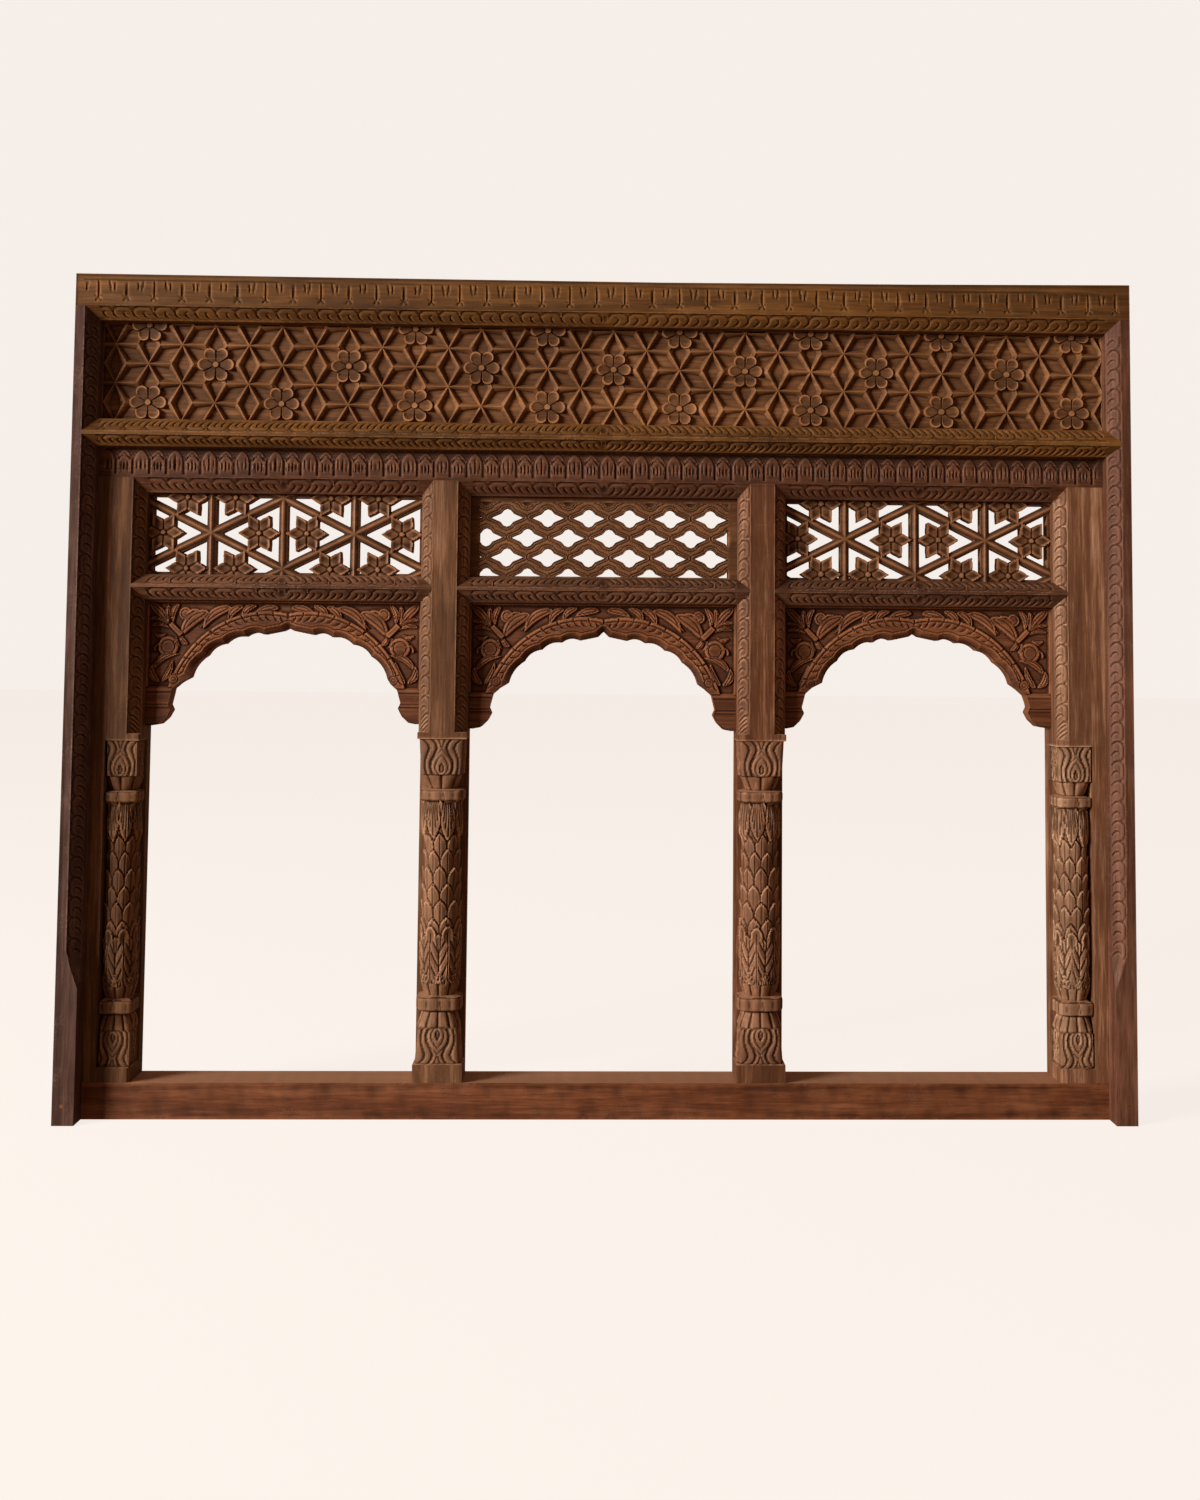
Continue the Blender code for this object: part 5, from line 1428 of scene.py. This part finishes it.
def wood(name, dark, mid, light, axis, seed, dust=0.12):
    """Old oiled timber: streaked grain along an axis, grime with painted shade in the hollows, wear with
    painted highlight on the edges, dust, and painted light that makes upward faces paler.
    """
    dark, mid, light = (tone(*colour) for colour in (dark, mid, light))
    g = Graph(name)
    place = g.add("TexCoord").outputs["Object"]
    squeeze = [0.055 if i == "xyz".index(axis) else 1.0 for i in range(3)]
    shift = (seed, seed * 0.7, seed * 1.3)
    along = g.add("Mapping", {"Vector": place, "Location": shift, "Scale": squeeze}).outputs[0]
    bands = g.noise(along, 34.0, 6.0, 0.62, 0.7)
    fibres = g.noise(along, 260.0, 3.0, 0.6)
    pores = g.noise(along, 620.0, 2.0, 0.5)
    patches = g.noise(place, 5.5, 4.0, 0.6, 0.3)
    stains = g.noise(place, 21.0, 5.0, 0.65)
    specks = g.noise(place, 240.0, 3.0, 0.6)
    # shares of painted highlight with wear, and of painted shade with grime, read from the points
    wear_and_highlight, hollow = (g.add("Attribute", attribute_name=share).outputs["Fac"] for share in ("wear_and_highlight", "hollow"))
    figure = g.math("ADD", g.math("MULTIPLY", bands, 0.62), g.math("MULTIPLY", fibres, 0.38))
    dusty = g.math("MULTIPLY", g.spread(stains, 0.52, 0.74), g.spread(specks, 0.40, 0.66), True)
    dusty = g.math("MULTIPLY", dusty, g.math("SUBTRACT", 1.0, hollow, True))
    # how far a surface faces up, for the painted light on top faces
    upward = g.add("SeparateXYZ", {"Vector": g.add("NewGeometry").outputs["Normal"]}).outputs["Z"]
    # painted highlight with wear: a paler copy of the light tone on raised crests
    wear_and_highlight_mix = g.math("MULTIPLY", wear_and_highlight, g.spread(stains, 0.3, 0.7, 0.25, 0.85), True)
    # painted shade with grime: a near-black copy of the dark tone in the hollows
    grime_and_shade_mix = g.math("MULTIPLY", hollow, g.spread(stains, 0.25, 0.6, 0.95, 0.7), True)
    body = g.mix(g.spread(figure, 0.34, 0.52), dark, mid)
    layers = [
        (g.spread(figure, 0.50, 0.68), light),
        (g.spread(patches, 0.35, 0.66, 0.0, 0.45), dark),
        (g.spread(pores, 0.30, 0.38, 0.45, 0.0), [c * 0.45 for c in dark]),
        (wear_and_highlight_mix, [min(1.0, c * 1.55 + 0.012) for c in light]),
        (grime_and_shade_mix, [c * 0.28 for c in dark]),
        (g.math("MULTIPLY", dusty, dust), tone(*DUST)),
        # painted light: surfaces facing up turn paler
        (g.spread(upward, 0.86, 0.98, 0.0, 0.5), tone(*PAINTED_TOP_LIGHT)),
    ]
    for share, colour in layers:
        body = g.mix(share, body, colour)
    rough = g.math("ADD", g.spread(stains, 0.3, 0.7, 0.54, 0.76), g.math("MULTIPLY", hollow, 0.2))
    rough = g.math("SUBTRACT", rough, g.math("MULTIPLY", wear_and_highlight, 0.08), True)
    grainy = g.math("ADD", g.math("MULTIPLY", fibres, 0.6), g.math("MULTIPLY", pores, 0.25))
    grainy = g.math("ADD", grainy, g.math("MULTIPLY", bands, 0.7))
    bump = g.add("Bump", {"Height": grainy, "Distance": 0.0011, "Strength": 0.42})
    g.paint({"Base Color": body, "Roughness": rough, "Specular IOR Level": 0.28, "Normal": bump.outputs[0]})
    return g.material


# ---- camera, light and floor ---------------------------------------------
def camera():
    """Camera at the photograph's viewpoint, fitted as position, turns, lens and shift."""
    pitch, yaw, roll = 0.0634, 0.0280, 0.0081
    ahead = Vector((math.sin(yaw) * math.cos(pitch), math.cos(yaw) * math.cos(pitch), math.sin(pitch)))
    right = Vector((math.cos(yaw), -math.sin(yaw), 0.0))
    above = right.cross(ahead)
    turned = right * math.cos(roll) + above * math.sin(roll)
    above = above * math.cos(roll) - right * math.sin(roll)
    data = bpy.data.cameras.new("camera")
    data.sensor_fit = "VERTICAL"
    data.sensor_height = 36
    data.lens = 39.7656
    data.shift_x, data.shift_y = -0.0237333, -0.1280667
    data.clip_end = 100
    columns = Matrix((turned, above, -ahead)).transposed().to_4x4()
    columns.translation = (-0.028, -3.0164, 0.8082)
    obj = place_object("camera", data)
    obj.matrix_world = columns
    bpy.context.scene.camera = obj


def area_light(name, place, aim, size, power, colour):
    """Soft rectangular light pointed at a place."""
    data = bpy.data.lights.new(name, "AREA")
    data.shape = "RECTANGLE"
    data.size, data.size_y = size
    data.energy = power
    data.color = colour
    obj = place_object(name, data)
    obj.location = place
    obj.rotation_mode = "QUATERNION"
    obj.rotation_quaternion = (Vector(aim) - Vector(place)).to_track_quat("-Z", "Y")


def surroundings():
    """Pale background to the camera and a dim warm glow to everything else."""
    world = bpy.data.worlds.new("studio")
    world.use_nodes = True
    tree = world.node_tree
    back = tree.nodes["Background"]
    back.inputs["Color"].default_value = (*tone(*BACKDROP), 1.0)
    glow = tree.nodes.new("ShaderNodeBackground")
    glow.inputs["Color"].default_value = (0.180, 0.108, 0.070, 1.0)
    either = tree.nodes.new("ShaderNodeMixShader")
    tree.links.new(tree.nodes.new("ShaderNodeLightPath").outputs["Is Camera Ray"], either.inputs[0])
    tree.links.new(glow.outputs[0], either.inputs[1])
    tree.links.new(back.outputs[0], either.inputs[2])
    tree.links.new(either.outputs[0], tree.nodes["World Output"].inputs["Surface"])
    bpy.context.scene.world = world
    bpy.context.scene.view_settings.view_transform = "Standard"


def floor():
    """Wide pale floor that runs into the background and takes only a faint shadow."""
    mesh = bpy.data.meshes.new("floor")
    far = 40.0
    mesh.from_pydata([(-far, -far, 0), (far, -far, 0), (far, far, 0), (-far, far, 0)], [], [(0, 1, 2, 3)])
    g = Graph("floor_paint")
    pale = tone(*BACKDROP)
    g.paint({"Base Color": (*[c * 0.20 for c in pale], 1.0), "Roughness": 1.0, "Specular IOR Level": 0.0,
             "Emission Color": (*pale, 1.0), "Emission Strength": 0.945})
    mesh.materials.append(g.material)
    obj = place_object("floor", mesh)
    obj.visible_diffuse = False
    obj.visible_glossy = False
    obj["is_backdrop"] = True


# ---- the window ----------------------------------------------------------
def window():
    """Dress every piece."""
    timbers = {name: wood(name + "_timber", *row) for name, row in TIMBERS.items()}
    head_rail(timbers["head"])
    star_panel(timbers["panel"])
    transom(timbers["head"])
    frieze_rail(timbers["frieze"])
    sill(timbers["sill"])
    for side, name in ((-1, "left_jamb"), (1, "right_jamb")):
        jamb(side, name, timbers[name])
    posts(timbers)
    for bay, place in ((-1, "left"), (0, "middle"), (1, "right")):
        cross_rail(bay, place, timbers["rail"])
        arch_board(bay, place, timbers["arch"])
    star_screen(-1, "left", timbers["screen"])
    star_screen(1, "right", timbers["screen"])
    wave_screen(timbers["screen"])
    for name in ("left_peg", "right_peg"):
        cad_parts[name].material_slots[0].material = timbers["arch"]


camera()
surroundings()
floor()
area_light("key", (-8.4, -5.5, 2.9), (0, 0, 0.75), (3.6, 3.0), 1270, (1.0, 0.95, 0.89))
window()

made_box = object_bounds()
str([[list(corner) for corner in box] for box in (cad_box, made_box)])
